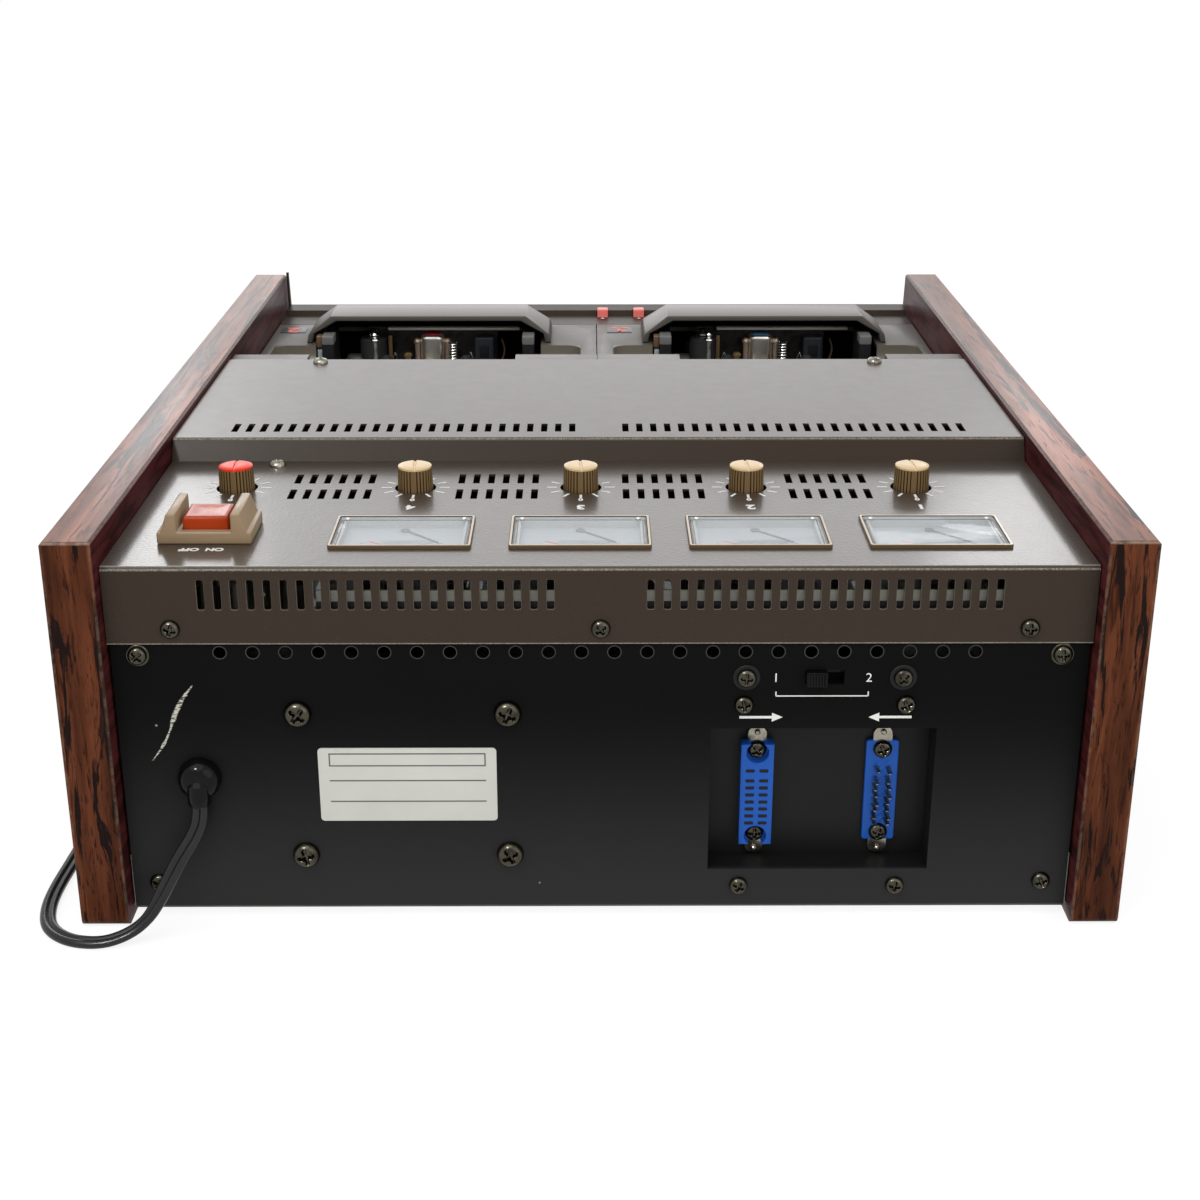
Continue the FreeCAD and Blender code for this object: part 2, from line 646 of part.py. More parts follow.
# ---------------------------------------------------------------- base pan
PAN_SPAN = (f"-({INSIDE}-side_gap)", f"{INSIDE}-side_gap")
PAN_RUN = ahead(PANEL_FRONT, "case_depth-pan_nose")
LUG_SPAN = middle("transformer_x", "bolt_span_x+2*lug_margin")
LUG_RISE = middle("transformer_level", "bolt_span_z+2*lug_margin")
RECESS_SPAN = middle("recess_x", "recess_width")
FLANGE_SPAN = grown(RECESS_SPAN, "recess_wall")
FLANGE_RISE = ("recess_screw_low-recess_lip", "recess_screw_high+recess_crown")
PAN_REAR = ahead(f"{PANEL_FRONT}-past", f"{PANEL_FRONT}+pan_thick+window_fit")
node("base_pan", cut(
    block(PAN_SPAN, PAN_RUN, ("base_clear", "base_clear+pan_wall")),
    block(grown(PAN_SPAN, "-pan_thick"), grown(PAN_RUN, "-pan_thick"),
          ("base_clear+pan_thick", "base_clear+pan_wall+past")),
    block(grown(LUG_SPAN, "window_fit"), PAN_REAR, (f"{LUG_RISE[0]}-window_fit", LUG_RISE[1])),
    block(grown(FLANGE_SPAN, "window_fit"), PAN_REAR, (f"{FLANGE_RISE[0]}-window_fit", FLANGE_RISE[1])),
    *rear_holes(REAR_SCREWS["corner_low"], f"{PANEL_FRONT}-past", f"{PANEL_FRONT}+pan_thick+past"),
    name="base_pan_cut",
))


# ---------------------------------------------------------------- rear panel
RECESS_RISE = ("recess_low", "recess_high")
THROUGH = ("panel_inset-past", f"{PANEL_FRONT}+past")
vent_holes = [
    rod("y", (f"hole_row_x+({i}-(hole_count-1)/2)*hole_pitch", "hole_level"),
        ahead(*THROUGH), "hole_radius")
    for i in range(count("hole_count"))
]
node("rear_panel", cut(
    block((f"-({INSIDE}-panel_margin)", f"{INSIDE}-panel_margin"), ahead("panel_inset", PANEL_FRONT),
          ("base_clear", "panel_high")),
    *vent_holes,
    block(RECESS_SPAN, ahead(*THROUGH), RECESS_RISE),
    block(middle("select_x", "select_slot"), ahead(*THROUGH), middle("select_level", "select_tall")),
    rod("y", ("relief_x", "relief_level"), ahead(*THROUGH), "relief_neck"),
    *rear_holes(sum(REAR_SCREWS.values(), []), *THROUGH),
    *rear_holes(BOLTS, *THROUGH, "bolt_radius"),
    name="rear_panel_cut",
))


# ---------------------------------------------------------------- painted covers
def slots(centre, number, pitch, width, y, z):
    """A row of slots as separate blocks, spaced along X about its middle."""
    return [
        block(middle(f"{centre}+({i}-({number}-1)/2)*{pitch}", width), y, z, "slot")
        for i in range(count(number))
    ]


COVER_SPAN = (f"-({INSIDE}-side_gap)", f"2*({INSIDE}-side_gap)")
control_outline = [
    (y_at(FLANGE_INSET), "flange_low"),
    (y_at(FLANGE_INSET), "control_level-bend"),
    (y_at(f"{FLANGE_INSET}+bend"), "control_level"),
    (y_at("step_back+step_run"), "control_level"),
    (y_at("step_back+step_run"), "control_level-sheet"),
    (y_at("panel_inset+bend/2"), "control_level-sheet"),
    (y_at("panel_inset"), "control_level-sheet-bend/2"),
    (y_at("panel_inset"), "flange_low"),
]
DROP_THROUGH = ("control_level-sheet-past", "control_level+past")
METER_SPAN = "(meter_width-2*meter_frame)"
METER_RUN = "(meter_deep-2*meter_frame)"
meter_windows = [
    block(middle(x, METER_SPAN), middle(y_at("meter_inset"), METER_RUN), DROP_THROUGH) for x in TRACKS
]
KNOBS = {"master_knob": "master_x"} | {f"level_knob_{i + 1}": x for i, x in enumerate(TRACKS)}
knob_holes = [
    rod("z", (x, y_at("knob_inset")), DROP_THROUGH, "knob_radius+knob_gap") for x in KNOBS.values()
]
rear_slots = [
    slot
    for side in (-1, 1)
    for slot in slots(f"{side}*rear_group_x", "rear_slots", "slot_pitch", "rear_slot_width",
                      ahead(f"{FLANGE_INSET}-past", "panel_inset+past"),
                      ("rear_slot_low", "rear_slot_low+slot_length"))
]
VENT_ROWS = ["vent_row_back", "(vent_row_back-vent_row_pitch)"]
control_vents = [
    slot
    for i in range(4)
    for back in VENT_ROWS
    for slot in slots(f"vent_first_x+{i}*track_pitch", "vent_slots", "slot_pitch", "slot_width",
                      ahead(back, f"{back}+slot_length"), DROP_THROUGH)
]
SWITCH_SPAN = middle("power_x", "button_width+2*button_gap+2*switch_wall")
SWITCH_RUN = middle(y_at("power_inset"), "button_deep+2*button_gap+2*switch_wall")
node("control_cover", cut(
    prism("control_sheet", "YZ_Plane", control_outline, *COVER_SPAN),
    *rear_slots, *control_vents, *knob_holes, *meter_windows,
    block(SWITCH_SPAN, SWITCH_RUN, DROP_THROUGH),
    *rear_holes(REAR_SCREWS["flange"], f"{FLANGE_INSET}-past", "panel_inset+past"),
    *top_holes(LONE_SCREW, *DROP_THROUGH),
    name="control_cover_cut",
))

STEP_TOP = "(step_back+step_run)"
slotted_outline = [
    (y_at("step_back"), "control_level"),
    (y_at(f"{STEP_TOP}-bend/2"), "cover_level-bend"),
    (y_at(f"{STEP_TOP}+bend/2"), "cover_level"),
    (y_at("cover_front"), "cover_level"),
    (y_at("cover_front"), "cover_level-sheet"),
    (y_at(f"{STEP_TOP}+bend"), "cover_level-sheet"),
    (y_at(f"{STEP_TOP}+bend/2"), "cover_level-sheet-bend/2"),
    (y_at("step_back+riser_thick"), "control_level"),
]
cover_slots = [
    slot
    for side in (-1, 1)
    for slot in slots(f"{side}*cover_group_x", "cover_slots", "slot_pitch", "slot_width",
                      ahead("cover_slot_back", "cover_slot_back+slot_length"),
                      ("cover_level-sheet-past", "cover_level+past"))
]
node("slotted_cover", cut(
    prism("slotted_sheet", "YZ_Plane", slotted_outline, *COVER_SPAN),
    *cover_slots,
    *top_holes(COVER_SCREWS, "cover_level-sheet-past", "cover_level+past"),
    name="slotted_cover_cut",
))


# ---------------------------------------------------------------- deck panels
STRIP_HIGH = "(cover_level-sheet)"


def facing(sign, pair):
    """A (low, high) pair for the right half of the case, or its mirror image for the left half."""
    return pair if sign > 0 else (f"-({pair[1]})", f"-({pair[0]})")


def deck_panel(side, sign):
    """Moulding with a raised rear strip, a well tub, an opening for the heads and two finger scoops."""
    span = facing(sign, (DECK_INNER, DECK_OUTER))
    tub = facing(sign, middle(WELL, "2*(tub_half+deck_wall)"))
    floor = "seat_level-deck_wall"
    solids = [
        block(span, ahead("cover_front-deck_tuck", "deck_back"), (f"{STRIP_HIGH}-deck_wall", STRIP_HIGH)),
        block(span, ahead("deck_back-deck_wall", "deck_back"), ("deck_level-deck_wall", STRIP_HIGH)),
        block(span, ahead("deck_back-deck_wall", "deck_front"), ("deck_level-deck_wall", "deck_level")),
        block(tub, ahead("tub_back-deck_wall", "deck_back"), (floor, STRIP_HIGH)),
        block(tub, ahead("deck_back-deck_wall", "tub_front"), (floor, "deck_level")),
    ]
    opening = facing(sign, middle(WELL, "2*opening_half"))
    openings = [
        block(facing(sign, middle(WELL, "2*tub_half")), ahead("tub_back", "tub_front+past"),
              ("seat_level", f"{STRIP_HIGH}+past")),
        block(opening, ahead("tub_front", "opening_front"), (f"{floor}-past", "deck_level+past")),
    ]
    outer = (f"{WELL}+opening_half", f"{DECK_OUTER}-scoop_outer")
    inner = (f"{DECK_INNER}+scoop_inner", f"{WELL}-opening_half")
    shells = ((outer[0], f"{outer[1]}+deck_wall"), (f"{inner[0]}-deck_wall", inner[1]))
    hollows = ((f"{outer[0]}-past", outer[1]), (inner[0], f"{inner[1]}+past"))
    for shell, hollow in zip(shells, hollows):
        solids.append(block(facing(sign, shell), grown(ahead("scoop_back", "scoop_front"), "deck_wall"),
                            (floor, "deck_level")))
        openings.append(block(facing(sign, hollow), ahead("scoop_back", "scoop_front"),
                              ("seat_level", "deck_level+past")))
    screw = COVER_SCREWS[0 if sign > 0 else 1]
    node(f"deck_panel_{side}", cut(
        fuse(*solids, name=f"deck_{side}_solid"), *openings,
        *top_holes([screw], f"{STRIP_HIGH}-deck_wall-past", f"{STRIP_HIGH}+past"),
        name=f"deck_{side}_cut",
    ))


deck_panel("right", 1)
deck_panel("left", -1)


# ---------------------------------------------------------------- hoods over the heads
def hood(well):
    """A trapezoid arch whose front end slopes down to the deck; open below and to the rear."""
    def shell(inset, name):
        arch = [
            (f"{well}+{a}*({b}-{inset})", level)
            for a, b, level in (
                (-1, "hood_half", "deck_level"), (-1, "hood_shoulder", "shoulder_level"),
                (-1, "hood_crown", f"hood_level-{inset}"), (1, "hood_crown", f"hood_level-{inset}"),
                (1, "hood_shoulder", "shoulder_level"), (1, "hood_half", "deck_level"),
            )
        ]
        slope = [
            (y_at("hood_back"), "deck_level"),
            (y_at(f"hood_foot-{inset}"), "deck_level"),
            (y_at(f"hood_crest-{inset}"), f"hood_level-{inset}"),
            (y_at("hood_back"), f"hood_level-{inset}"),
        ]
        return common(
            prism(f"{name}_arch", "XZ_Plane", arch, "-case_depth/2", "case_depth"),
            prism(f"{name}_slope", "YZ_Plane", slope, "-case_width/2", "case_width"),
            name=name,
        )
    return cut(shell("0", "hood_outer"), shell("hood_wall", "hood_inner"), name="hood")


node("head_hoods", group(*[hood(well) for well in WELLS.values()], name="both_hoods"))


# ---------------------------------------------------------------- front panel and its push buttons
def front_face(level, inset="front_inset"):
    """The Y coordinate of the sloping front at a height, that far behind the wood's front edge."""
    return y_at(f"{front_line(level)}-({inset})")


LEAN = "atan(front_setback/case_height)"
INNER = f"front_inset+front_thick/cos({LEAN})"
front_outline = [
    (y_at("deck_front+split_gap"), "deck_level"),
    (y_at("rail_back"), "deck_level"),
    (y_at("rail_back+rail_rise"), "rail_level-rail_crest"),
    (front_face("rail_level", "front_inset+rail_round"), "rail_level"),
    (front_face("rail_level-rail_round"), "rail_level-rail_round"),
    (front_face("front_low"), "front_low"),
    (front_face("front_low", INNER), "front_low"),
    (front_face("rail_level-front_thick", INNER), "rail_level-front_thick"),
    (y_at("rail_back+rail_rise+front_thick/2"), "rail_level-rail_crest-front_thick"),
    (y_at("rail_back+front_thick/2"), "deck_level-deck_wall"),
    (y_at("deck_front+split_gap"), "deck_level-deck_wall"),
]
ear_outline = [
    (front_face("deck_level"), "deck_level"),
    (front_face("ear_high"), "ear_high"),
    (front_face("ear_high", "front_inset+ear_deep"), "ear_high"),
    (front_face("deck_level", "front_inset+ear_deep*2"), "deck_level"),
]


def leaned(obj, x):
    """Turns a piece made about the origin to the sloping front face, its -Y side outwards."""
    obj.Placement = Placement(Vector(), Rotation(Vector(1, 0, 0), -10))
    bind(obj, Placement__Rotation__Angle=f"-{LEAN}", Placement__Base__x=x)
    return bind(obj, Placement__Base__y=front_face("key_level"), Placement__Base__z="key_level")


KEYS = {"rewind_button": "-key_pitch", "stop_button": "0", "copy_button": "key_pitch"}
RED_BUTTONS = {"red_button_1": "red_first_x", "red_button_2": "red_first_x+red_pitch"}
key_holes = [
    leaned(group(block(middle("0", "key_width+2*button_gap"), ("-past", "front_thick+past"),
                       middle("0", "key_tall+2*button_gap"), "key_hole")), x)
    for x in KEYS.values()
]
RED_RUN = ahead("red_back", "red_back+red_deep")
red_holes = [
    block(middle(x, "red_width+2*button_gap"), grown(RED_RUN, "button_gap"),
          ("deck_level-deck_wall-past", "rail_level+past"), "red_hole")
    for x in RED_BUTTONS.values()
]
front_sheet = fuse(
    prism("front_sheet", "YZ_Plane", front_outline, *COVER_SPAN),
    prism("front_ear", "YZ_Plane", ear_outline, f"{INSIDE}-side_gap-ear_sheet", "ear_sheet"),
    name="front_solid",
)
node("front_panel", cut(front_sheet, *key_holes, *red_holes, name="front_cut"))

for name, x in KEYS.items():
    cap = block(middle("0", "key_width"), ("-key_proud", "front_thick+axial_gap"), middle("0", "key_tall"))
    collar = block(middle("0", "key_width+2*key_rim"), ("front_thick+axial_gap", "front_thick+key_tail"),
                   middle("0", "key_tall+2*key_rim"))
    node(name, leaned(fuse(cap, collar, name=f"{name}_solid"), x))

for name, x in RED_BUTTONS.items():
    stem = block(middle(x, "red_width"), RED_RUN, ("deck_level-deck_wall-axial_gap", "red_high"))
    foot = block(middle(x, "red_width+2*red_rim"), grown(RED_RUN, "red_rim"),
                 ("deck_level-deck_wall-red_drop", "deck_level-deck_wall-axial_gap"))
    node(name, fuse(stem, foot, name=f"{name}_solid"))


# ---------------------------------------------------------------- connector recess and connectors
WALL_BACK = "(panel_inset+panel_thick+recess_deep)"
WALL_FRONT = f"({WALL_BACK}+recess_wall)"
SOCKET_X, PINS_X = "(recess_x+socket_x)", "(recess_x+pins_x)"
node("connector_recess", cut(
    fuse(
        block(FLANGE_SPAN, ahead(PANEL_FRONT, WALL_FRONT), grown(RECESS_RISE, "recess_wall")),
        block(FLANGE_SPAN, ahead(PANEL_FRONT, f"{PANEL_FRONT}+recess_wall"), FLANGE_RISE),
        name="recess_solid",
    ),
    block(RECESS_SPAN, ahead(f"{PANEL_FRONT}-past", WALL_BACK), RECESS_RISE),
    *[block(middle(x, "tail_width+2*tail_gap"), ahead(f"{WALL_BACK}-past", f"{WALL_FRONT}+past"),
            middle("connector_level", "tail_tall+2*tail_gap")) for x in (SOCKET_X, PINS_X)],
    *rear_holes(REAR_SCREWS["recess"], f"{PANEL_FRONT}-past", f"{PANEL_FRONT}+recess_wall+past"),
    *rear_holes(LATCHES, f"{WALL_BACK}-past", f"{WALL_FRONT}+past"),
    name="recess_cut",
))


def contacts(x, run, wide, thick):
    """Two columns of contacts; the top row stands a little further off than the rest."""
    rows = count("contact_rows")
    levels = [f"connector_level-contact_foot+{i}*contact_pitch" for i in range(rows)]
    levels[-1] += "+contact_step"
    return [
        block(middle(f"{x}+{side}*contact_column/2", wide), run, middle(level, thick), "contact")
        for side in (-1, 1)
        for level in levels
    ]


def connector_body(x, proud):
    """A tall block on the recess wall with a tail through it."""
    face = block(middle(x, "connector_width"), ahead(f"{WALL_BACK}-{proud}", WALL_BACK),
                 middle("connector_level", "connector_tall"))
    tail = block(middle(x, "tail_width"), ahead(WALL_BACK, f"{WALL_FRONT}+connector_tail"),
                 middle("connector_level", "tail_tall"))
    return [face, tail]


SOCKET_FACE = f"({WALL_BACK}-socket_proud)"
node("socket_connector", cut(
    fuse(*connector_body(SOCKET_X, "socket_proud"), name="socket_solid"),
    *contacts(SOCKET_X, ahead(f"{SOCKET_FACE}-past", f"{SOCKET_FACE}+contact_deep"),
              "contact_wide", "contact_slit"),
    *[rod("y", at, ahead(f"{SOCKET_FACE}-past", LATCH_SEAT), "latch_radius") for at in LATCHES[:2]],
    *rear_holes(LATCHES[:2], SOCKET_FACE, f"{WALL_BACK}+past"),
    name="socket_cut",
))
PIN_FACE = f"({WALL_BACK}-pins_proud)"
node("pin_connector", cut(
    fuse(
        *connector_body(PINS_X, "pins_proud"),
        *contacts(PINS_X, ahead(f"{PIN_FACE}-pin_long", PIN_FACE), "pin_wide", "pin_thick"),
        name="pins_solid",
    ),
    *rear_holes(LATCHES[2:], f"{PIN_FACE}-past", f"{WALL_BACK}+past"),
    name="pins_cut",
))


# ---------------------------------------------------------------- slide switch
SELECT_RISE = middle("select_level", "select_high")
CHANNEL_FRONT = f"({PANEL_FRONT}+select_root+axial_gap)"
node("slide_switch", cut(
    fuse(
        block(middle("select_x", "2*(select_screw+select_lug)"),
              ahead(PANEL_FRONT, f"{PANEL_FRONT}+select_plate"), SELECT_RISE),
        block(middle("select_x", "select_width"),
              ahead(PANEL_FRONT, f"{PANEL_FRONT}+select_body"), SELECT_RISE),
        name="select_solid",
    ),
    block(middle("select_x", "select_slot"), ahead(f"{PANEL_FRONT}-past", CHANNEL_FRONT),
          middle("select_level", "select_tall")),
    *rear_holes(REAR_SCREWS["select"], f"{PANEL_FRONT}-past", f"{PANEL_FRONT}+select_plate+past"),
    name="select_cut",
))
node("slide_switch_knob", block(
    middle("select_x+select_rest", "select_knob"),
    ahead("panel_inset-select_proud", f"{PANEL_FRONT}+select_root"),
    middle("select_level", "select_tall-2*select_gap"),
))


# ---------------------------------------------------------------- rating plate
plate_outline = [
    (f"plate_x+{a}*plate_width/2", f"plate_level+{b}*plate_tall/2")
    for a, b in ((-1, -1), (1, -1), (1, 1), (-1, 1))
]
plate = prism("plate_blank", "XZ_Plane", plate_outline, f"-({y_at('panel_inset')}+plate_thick)", "plate_thick")
dress(plate, "Fillet", "plate_round", lambda e, whole: e.YLength > whole.YLength - NEAR)
node("rating_plate", plate)


# ---------------------------------------------------------------- strain relief
RELIEF_AT = ("relief_x", "relief_level")
node("strain_relief", fuse(
    rod("y", RELIEF_AT, ahead("panel_inset-relief_rim", "panel_inset"), "relief_radius"),
    cone("y", RELIEF_AT, ahead("panel_inset-relief_proud", "panel_inset-relief_rim"),
         "relief_radius", "relief_face"),
    rod("y", RELIEF_AT, ahead("panel_inset", PANEL_FRONT), "relief_neck-hole_gap"),
    rod("y", RELIEF_AT, ahead(PANEL_FRONT, f"{PANEL_FRONT}+relief_tail"), "relief_grip"),
    rod("z", ("relief_x", y_at("relief_axis")), ("relief_level-relief_drop", "relief_level"),
        "relief_nose"),
    name="relief_solid",
))


# ---------------------------------------------------------------- power transformer
CORE_BACK = f"({PANEL_FRONT}+lug_thick)"
CORE_AT = middle("transformer_x", "core_width")
node("power_transformer", cut(
    fuse(
        block(LUG_SPAN, ahead(PANEL_FRONT, CORE_BACK), LUG_RISE),
        block(CORE_AT, ahead(CORE_BACK, f"{CORE_BACK}+core_deep"),
              middle("transformer_level", "core_tall")),
        block(middle("transformer_x", "coil_width"),
              ahead(f"{CORE_BACK}+coil_start", f"{CORE_BACK}+coil_start+coil_depth"),
              middle("transformer_level", "core_tall+2*coil_bulge")),
        name="transformer_solid",
    ),
    *rear_holes(BOLTS, f"{PANEL_FRONT}-past", f"{CORE_BACK}+past", "bolt_radius"),
    name="transformer_cut",
))


# ---------------------------------------------------------------- circuit board and potentiometers
BOARD_TOP = "(board_level+board_thick)"
board_corners = [
    (f"{side}*(board_half-pillar_margin)", y_at(inset))
    for side in (-1, 1)
    for inset in ("board_back+pillar_margin", "board_front-pillar_margin")
]
node("circuit_board", fuse(
    block(middle("0", "2*board_half"), ahead("board_back", "board_front"), ("board_level", BOARD_TOP)),
    *[rod("z", at, (BOARD_TOP, "control_level-sheet"), "pillar_radius") for at in board_corners],
    name="board_solid",
))

POT_TOP = f"({BOARD_TOP}+pot_tall)"
BUSH_TOP = f"({POT_TOP}+bush_tall)"
SHAFT_FOOT = f"({BOARD_TOP}+pot_floor)"


def potentiometer(x):
    at = (x, y_at("knob_inset"))
    return cut(
        fuse(
            block(middle(x, "pot_width"), middle(y_at("knob_inset"), "pot_width"), (BOARD_TOP, POT_TOP)),
            rod("z", at, (POT_TOP, BUSH_TOP), "bush_radius"),
        ),
        rod("z", at, (SHAFT_FOOT, f"{BUSH_TOP}+past"), "shaft_radius+running_gap"),
        name="potentiometer",
    )


node("potentiometers", group(*[potentiometer(x) for x in KNOBS.values()], name="pots"))

for name, x in KNOBS.items():
    at = (x, y_at("knob_inset"))
    skirt = rod("z", at, ("knob_skirt_low", "knob_high-cap_thick"), "knob_radius")
    shaft = rod("z", at, (f"{SHAFT_FOOT}+axial_gap", "knob_skirt_low"), "shaft_radius")
    cap = rod("z", at, ("knob_high-cap_thick", "knob_high"), "knob_radius-cap_inset")
    node(name, group(fuse(skirt, shaft, name=f"{name}_body"), cap, name=f"{name}_pieces"))


# ---------------------------------------------------------------- level meters
METER_Y = y_at("meter_inset")
DIAL = "(control_level-dial_drop)"
PIVOT_INSET = f"(meter_inset+{METER_RUN}/2-meter_case_rim-window_fit-pivot_margin)"


def meter_box(x, inset, z):
    """A block centred on a meter, its sides that far inside the meter's window."""
    return block(middle(x, f"{METER_SPAN}-2*({inset})"), middle(METER_Y, f"{METER_RUN}-2*({inset})"), z)


bezels, glasses, cases = [], [], []
for x in TRACKS:
    bezels.append(cut(
        meter_box(x, "-meter_frame", ("control_level", "control_level+meter_rise")),
        meter_box(x, "meter_lip", ("control_level-past", "control_level+meter_rise+past")),
        name="bezel",
    ))
    glasses.append(meter_box(x, "meter_lip+glass_fit", ("control_level", "control_level+glass_thick")))
    cases.append(cut(
        meter_box(x, "window_fit", ("control_level-meter_case_tall", "control_level")),
        meter_box(x, "window_fit+meter_case_rim", (DIAL, "control_level+past")),
        rod("z", (x, y_at(PIVOT_INSET)), (f"{DIAL}-pivot_long", f"{DIAL}+past"),
            "pivot_radius+running_gap"),
        name="case",
    ))
node("meter_bezels", group(*bezels, name="bezels"))
node("meter_glasses", group(*glasses, name="glasses"))
node("meter_cases", group(*cases, name="cases"))

for number, x in enumerate(TRACKS, 1):
    low = "axial_gap"
    pin = rod("z", ("0", "0"), (f"{low}-pivot_long", low), "pivot_radius")
    hub = rod("z", ("0", "0"), (low, f"{low}+needle_thick"), "needle_hub")
    hand = block(middle("0", "needle_wide"), ("0", "needle_long"), (low, f"{low}+needle_thick"))
    needle = fuse(pin, hub, hand, name=f"needle_{number}")
    needle.Placement = Placement(Vector(), Rotation(Vector(0, 0, 1), 45))
    bind(needle, Placement__Rotation__Angle="needle_rest", Placement__Base__z=DIAL)
    bind(needle, Placement__Base__x=x, Placement__Base__y=y_at(PIVOT_INSET))
    node(f"meter_needle_{number}", needle)


# ---------------------------------------------------------------- power switch
POWER_Y = y_at("power_inset")
BUTTON_SPAN = middle("power_x", "button_width")
BUTTON_RUN = middle(POWER_Y, "button_deep")


def guard_ear(side, name):
    """One end of the guard; its outer face leans in towards the top."""
    top = "guard_width/2-ear_lean"
    outline = [
        (f"power_x+{side}*guard_width/2", "control_level"),
        (f"power_x+{side}*({top})", "control_level+ear_rise"),
        (f"power_x+{side}*({top}-ear_top)", "control_level+ear_rise"),
        (f"power_x+{side}*({top}-ear_top)", "control_level"),
    ]
    return prism(name, "XZ_Plane", outline, f"-({POWER_Y}+guard_deep/2)", "guard_deep")


node("power_switch", cut(
    fuse(
        block(middle("power_x", "guard_width"), middle(POWER_Y, "guard_deep"),
              ("control_level", "control_level+guard_rise")),
        guard_ear(-1, "guard_ear_low"), guard_ear(1, "guard_ear_high"),
        block(grown(SWITCH_SPAN, "-window_fit"), grown(SWITCH_RUN, "-window_fit"),
              ("control_level-switch_drop", "control_level")),
        name="switch_solid",
    ),
    block(grown(BUTTON_SPAN, "button_gap"), grown(BUTTON_RUN, "button_gap"),
          ("control_level-switch_drop+switch_wall", "control_level+ear_rise+past")),
    name="switch_cut",
))
BUTTON_RISE = ("control_level-button_root", "control_level+button_rise")
node("power_button", block(BUTTON_SPAN, BUTTON_RUN, BUTTON_RISE))


# ---------------------------------------------------------------- transport frame and guide posts
FRAME_SPAN = middle("0", "2*frame_half")
PAN_TOP = "(base_clear+pan_thick)"
FRAME_LOW = "(frame_level-frame_thick)"
BOSS_TOP = "(frame_level+boss_tall)"
SPINDLES = {
    f"reel_spindle_{side}_{hand}": (f"({well}+({sign}*hub_x))", "hub_inset")
    for side, well in WELLS.items()
    for hand, sign in (("takeup", 1), ("supply", -1))
}
CAPSTANS = {side: (f"({well}+capstan_x)", "capstan_inset") for side, well in WELLS.items()}
MOTOR_AT = ("motor_x", y_at("motor_inset"))


def standing(place):
    x, inset = place
    return x, y_at(inset)


bosses = [rod("z", standing(p), ("frame_level", BOSS_TOP), "boss_radius")
          for p in [*SPINDLES.values(), *CAPSTANS.values()]]
steps = [rod("z", standing(p), ("shelf_level", "shelf_level+boss_tall"), "boss_radius")
         for p in CAPSTANS.values()]
reel_bores = [rod("z", standing(p), (f"{FRAME_LOW}-past", f"{BOSS_TOP}+past"), "axle_radius+running_gap")
              for p in SPINDLES.values()]
capstan_bores = [rod("z", standing(p), ("shelf_level", f"{BOSS_TOP}+past"), "capstan_radius+running_gap")
                 for p in CAPSTANS.values()]
node("transport_frame", cut(
    fuse(
        block(FRAME_SPAN, ahead("frame_back", "frame_front"), (FRAME_LOW, "frame_level")),
        block(FRAME_SPAN, ahead("frame_back", "frame_back+leg_thick"), (PAN_TOP, "frame_level")),
        block(FRAME_SPAN, ahead("frame_front-leg_thick", "frame_front"), (PAN_TOP, "frame_level")),
        block(FRAME_SPAN, ahead("frame_back", "frame_front"), ("shelf_level-frame_thick", "shelf_level")),
        *bosses, *steps,
        name="frame_solid",
    ),
    *reel_bores, *capstan_bores,
    rod("z", MOTOR_AT, ("shelf_level-frame_thick-past", "shelf_level+past"), "boss_radius"),
    name="frame_cut",
))
node("guide_posts", group(*[
    block(
        (f"{well}+post_inner", f"{well}+post_inner+post_width") if side > 0
        else (f"{well}-post_inner-post_width", f"{well}-post_inner"),
        ahead("post_back", "post_front"), ("frame_level", "post_high"), "post")
    for well in WELLS.values()
    for side in (-1, 1)
], name="posts"))


# ---------------------------------------------------------------- drive
wheels = {}
for side, place in CAPSTANS.items():
    at = standing(place)
    wheels[side] = rod("z", at, ("flywheel_low", "flywheel_low+flywheel_tall"), "flywheel_radius")
    shaft = rod("z", at, ("shelf_level+axial_gap", "capstan_high"), "capstan_radius")
    node(f"flywheel_{side}", fuse(wheels[side], shaft, name=f"flywheel_{side}_solid"))

MOTOR_TOP = "(shelf_level-frame_thick)"
MOTOR_BORE = f"({MOTOR_TOP}-motor_tall/2)"
node("drive_motor", cut(
    rod("z", MOTOR_AT, (f"{MOTOR_TOP}-motor_tall", MOTOR_TOP), "motor_radius"),
    rod("z", MOTOR_AT, (MOTOR_BORE, f"{MOTOR_TOP}+past"), "pulley_shaft+running_gap"),
    name="motor_cut",
))
wheels["motor"] = rod("z", MOTOR_AT, ("flywheel_low", "flywheel_low+flywheel_tall"), "pulley_radius")
motor_shaft = rod("z", MOTOR_AT, (f"{MOTOR_BORE}+axial_gap", "flywheel_low"), "pulley_shaft")
node("motor_pulley", fuse(wheels["motor"], motor_shaft, name="pulley_solid"))


def hull(circles, grow):
    """The face inside a tight loop round circles, given as (centre, radius), in clockwise order."""
    edges = []
    touches = []
    for (a, r), (b, s) in zip(circles, circles[1:] + circles[:1]):
        gap = b - a
        turn = math.acos((r - s) / gap.Length)
        away = Rotation(Vector(0, 0, 1), math.degrees(turn)).multVec(gap / gap.Length)
        touches.append((a + away * (r + grow), b + away * (s + grow)))
    for i, (centre, radius) in enumerate(circles):
        arrive, leave = touches[i - 1][1], touches[i][0]
        half = (arrive + leave) / 2 - centre
        edges.append(Part.Arc(arrive, centre + half * ((radius + grow) / half.Length), leave).toShape())
        edges.append(Part.LineSegment(*touches[i]).toShape())
    return Part.Face(Part.Wire(edges))


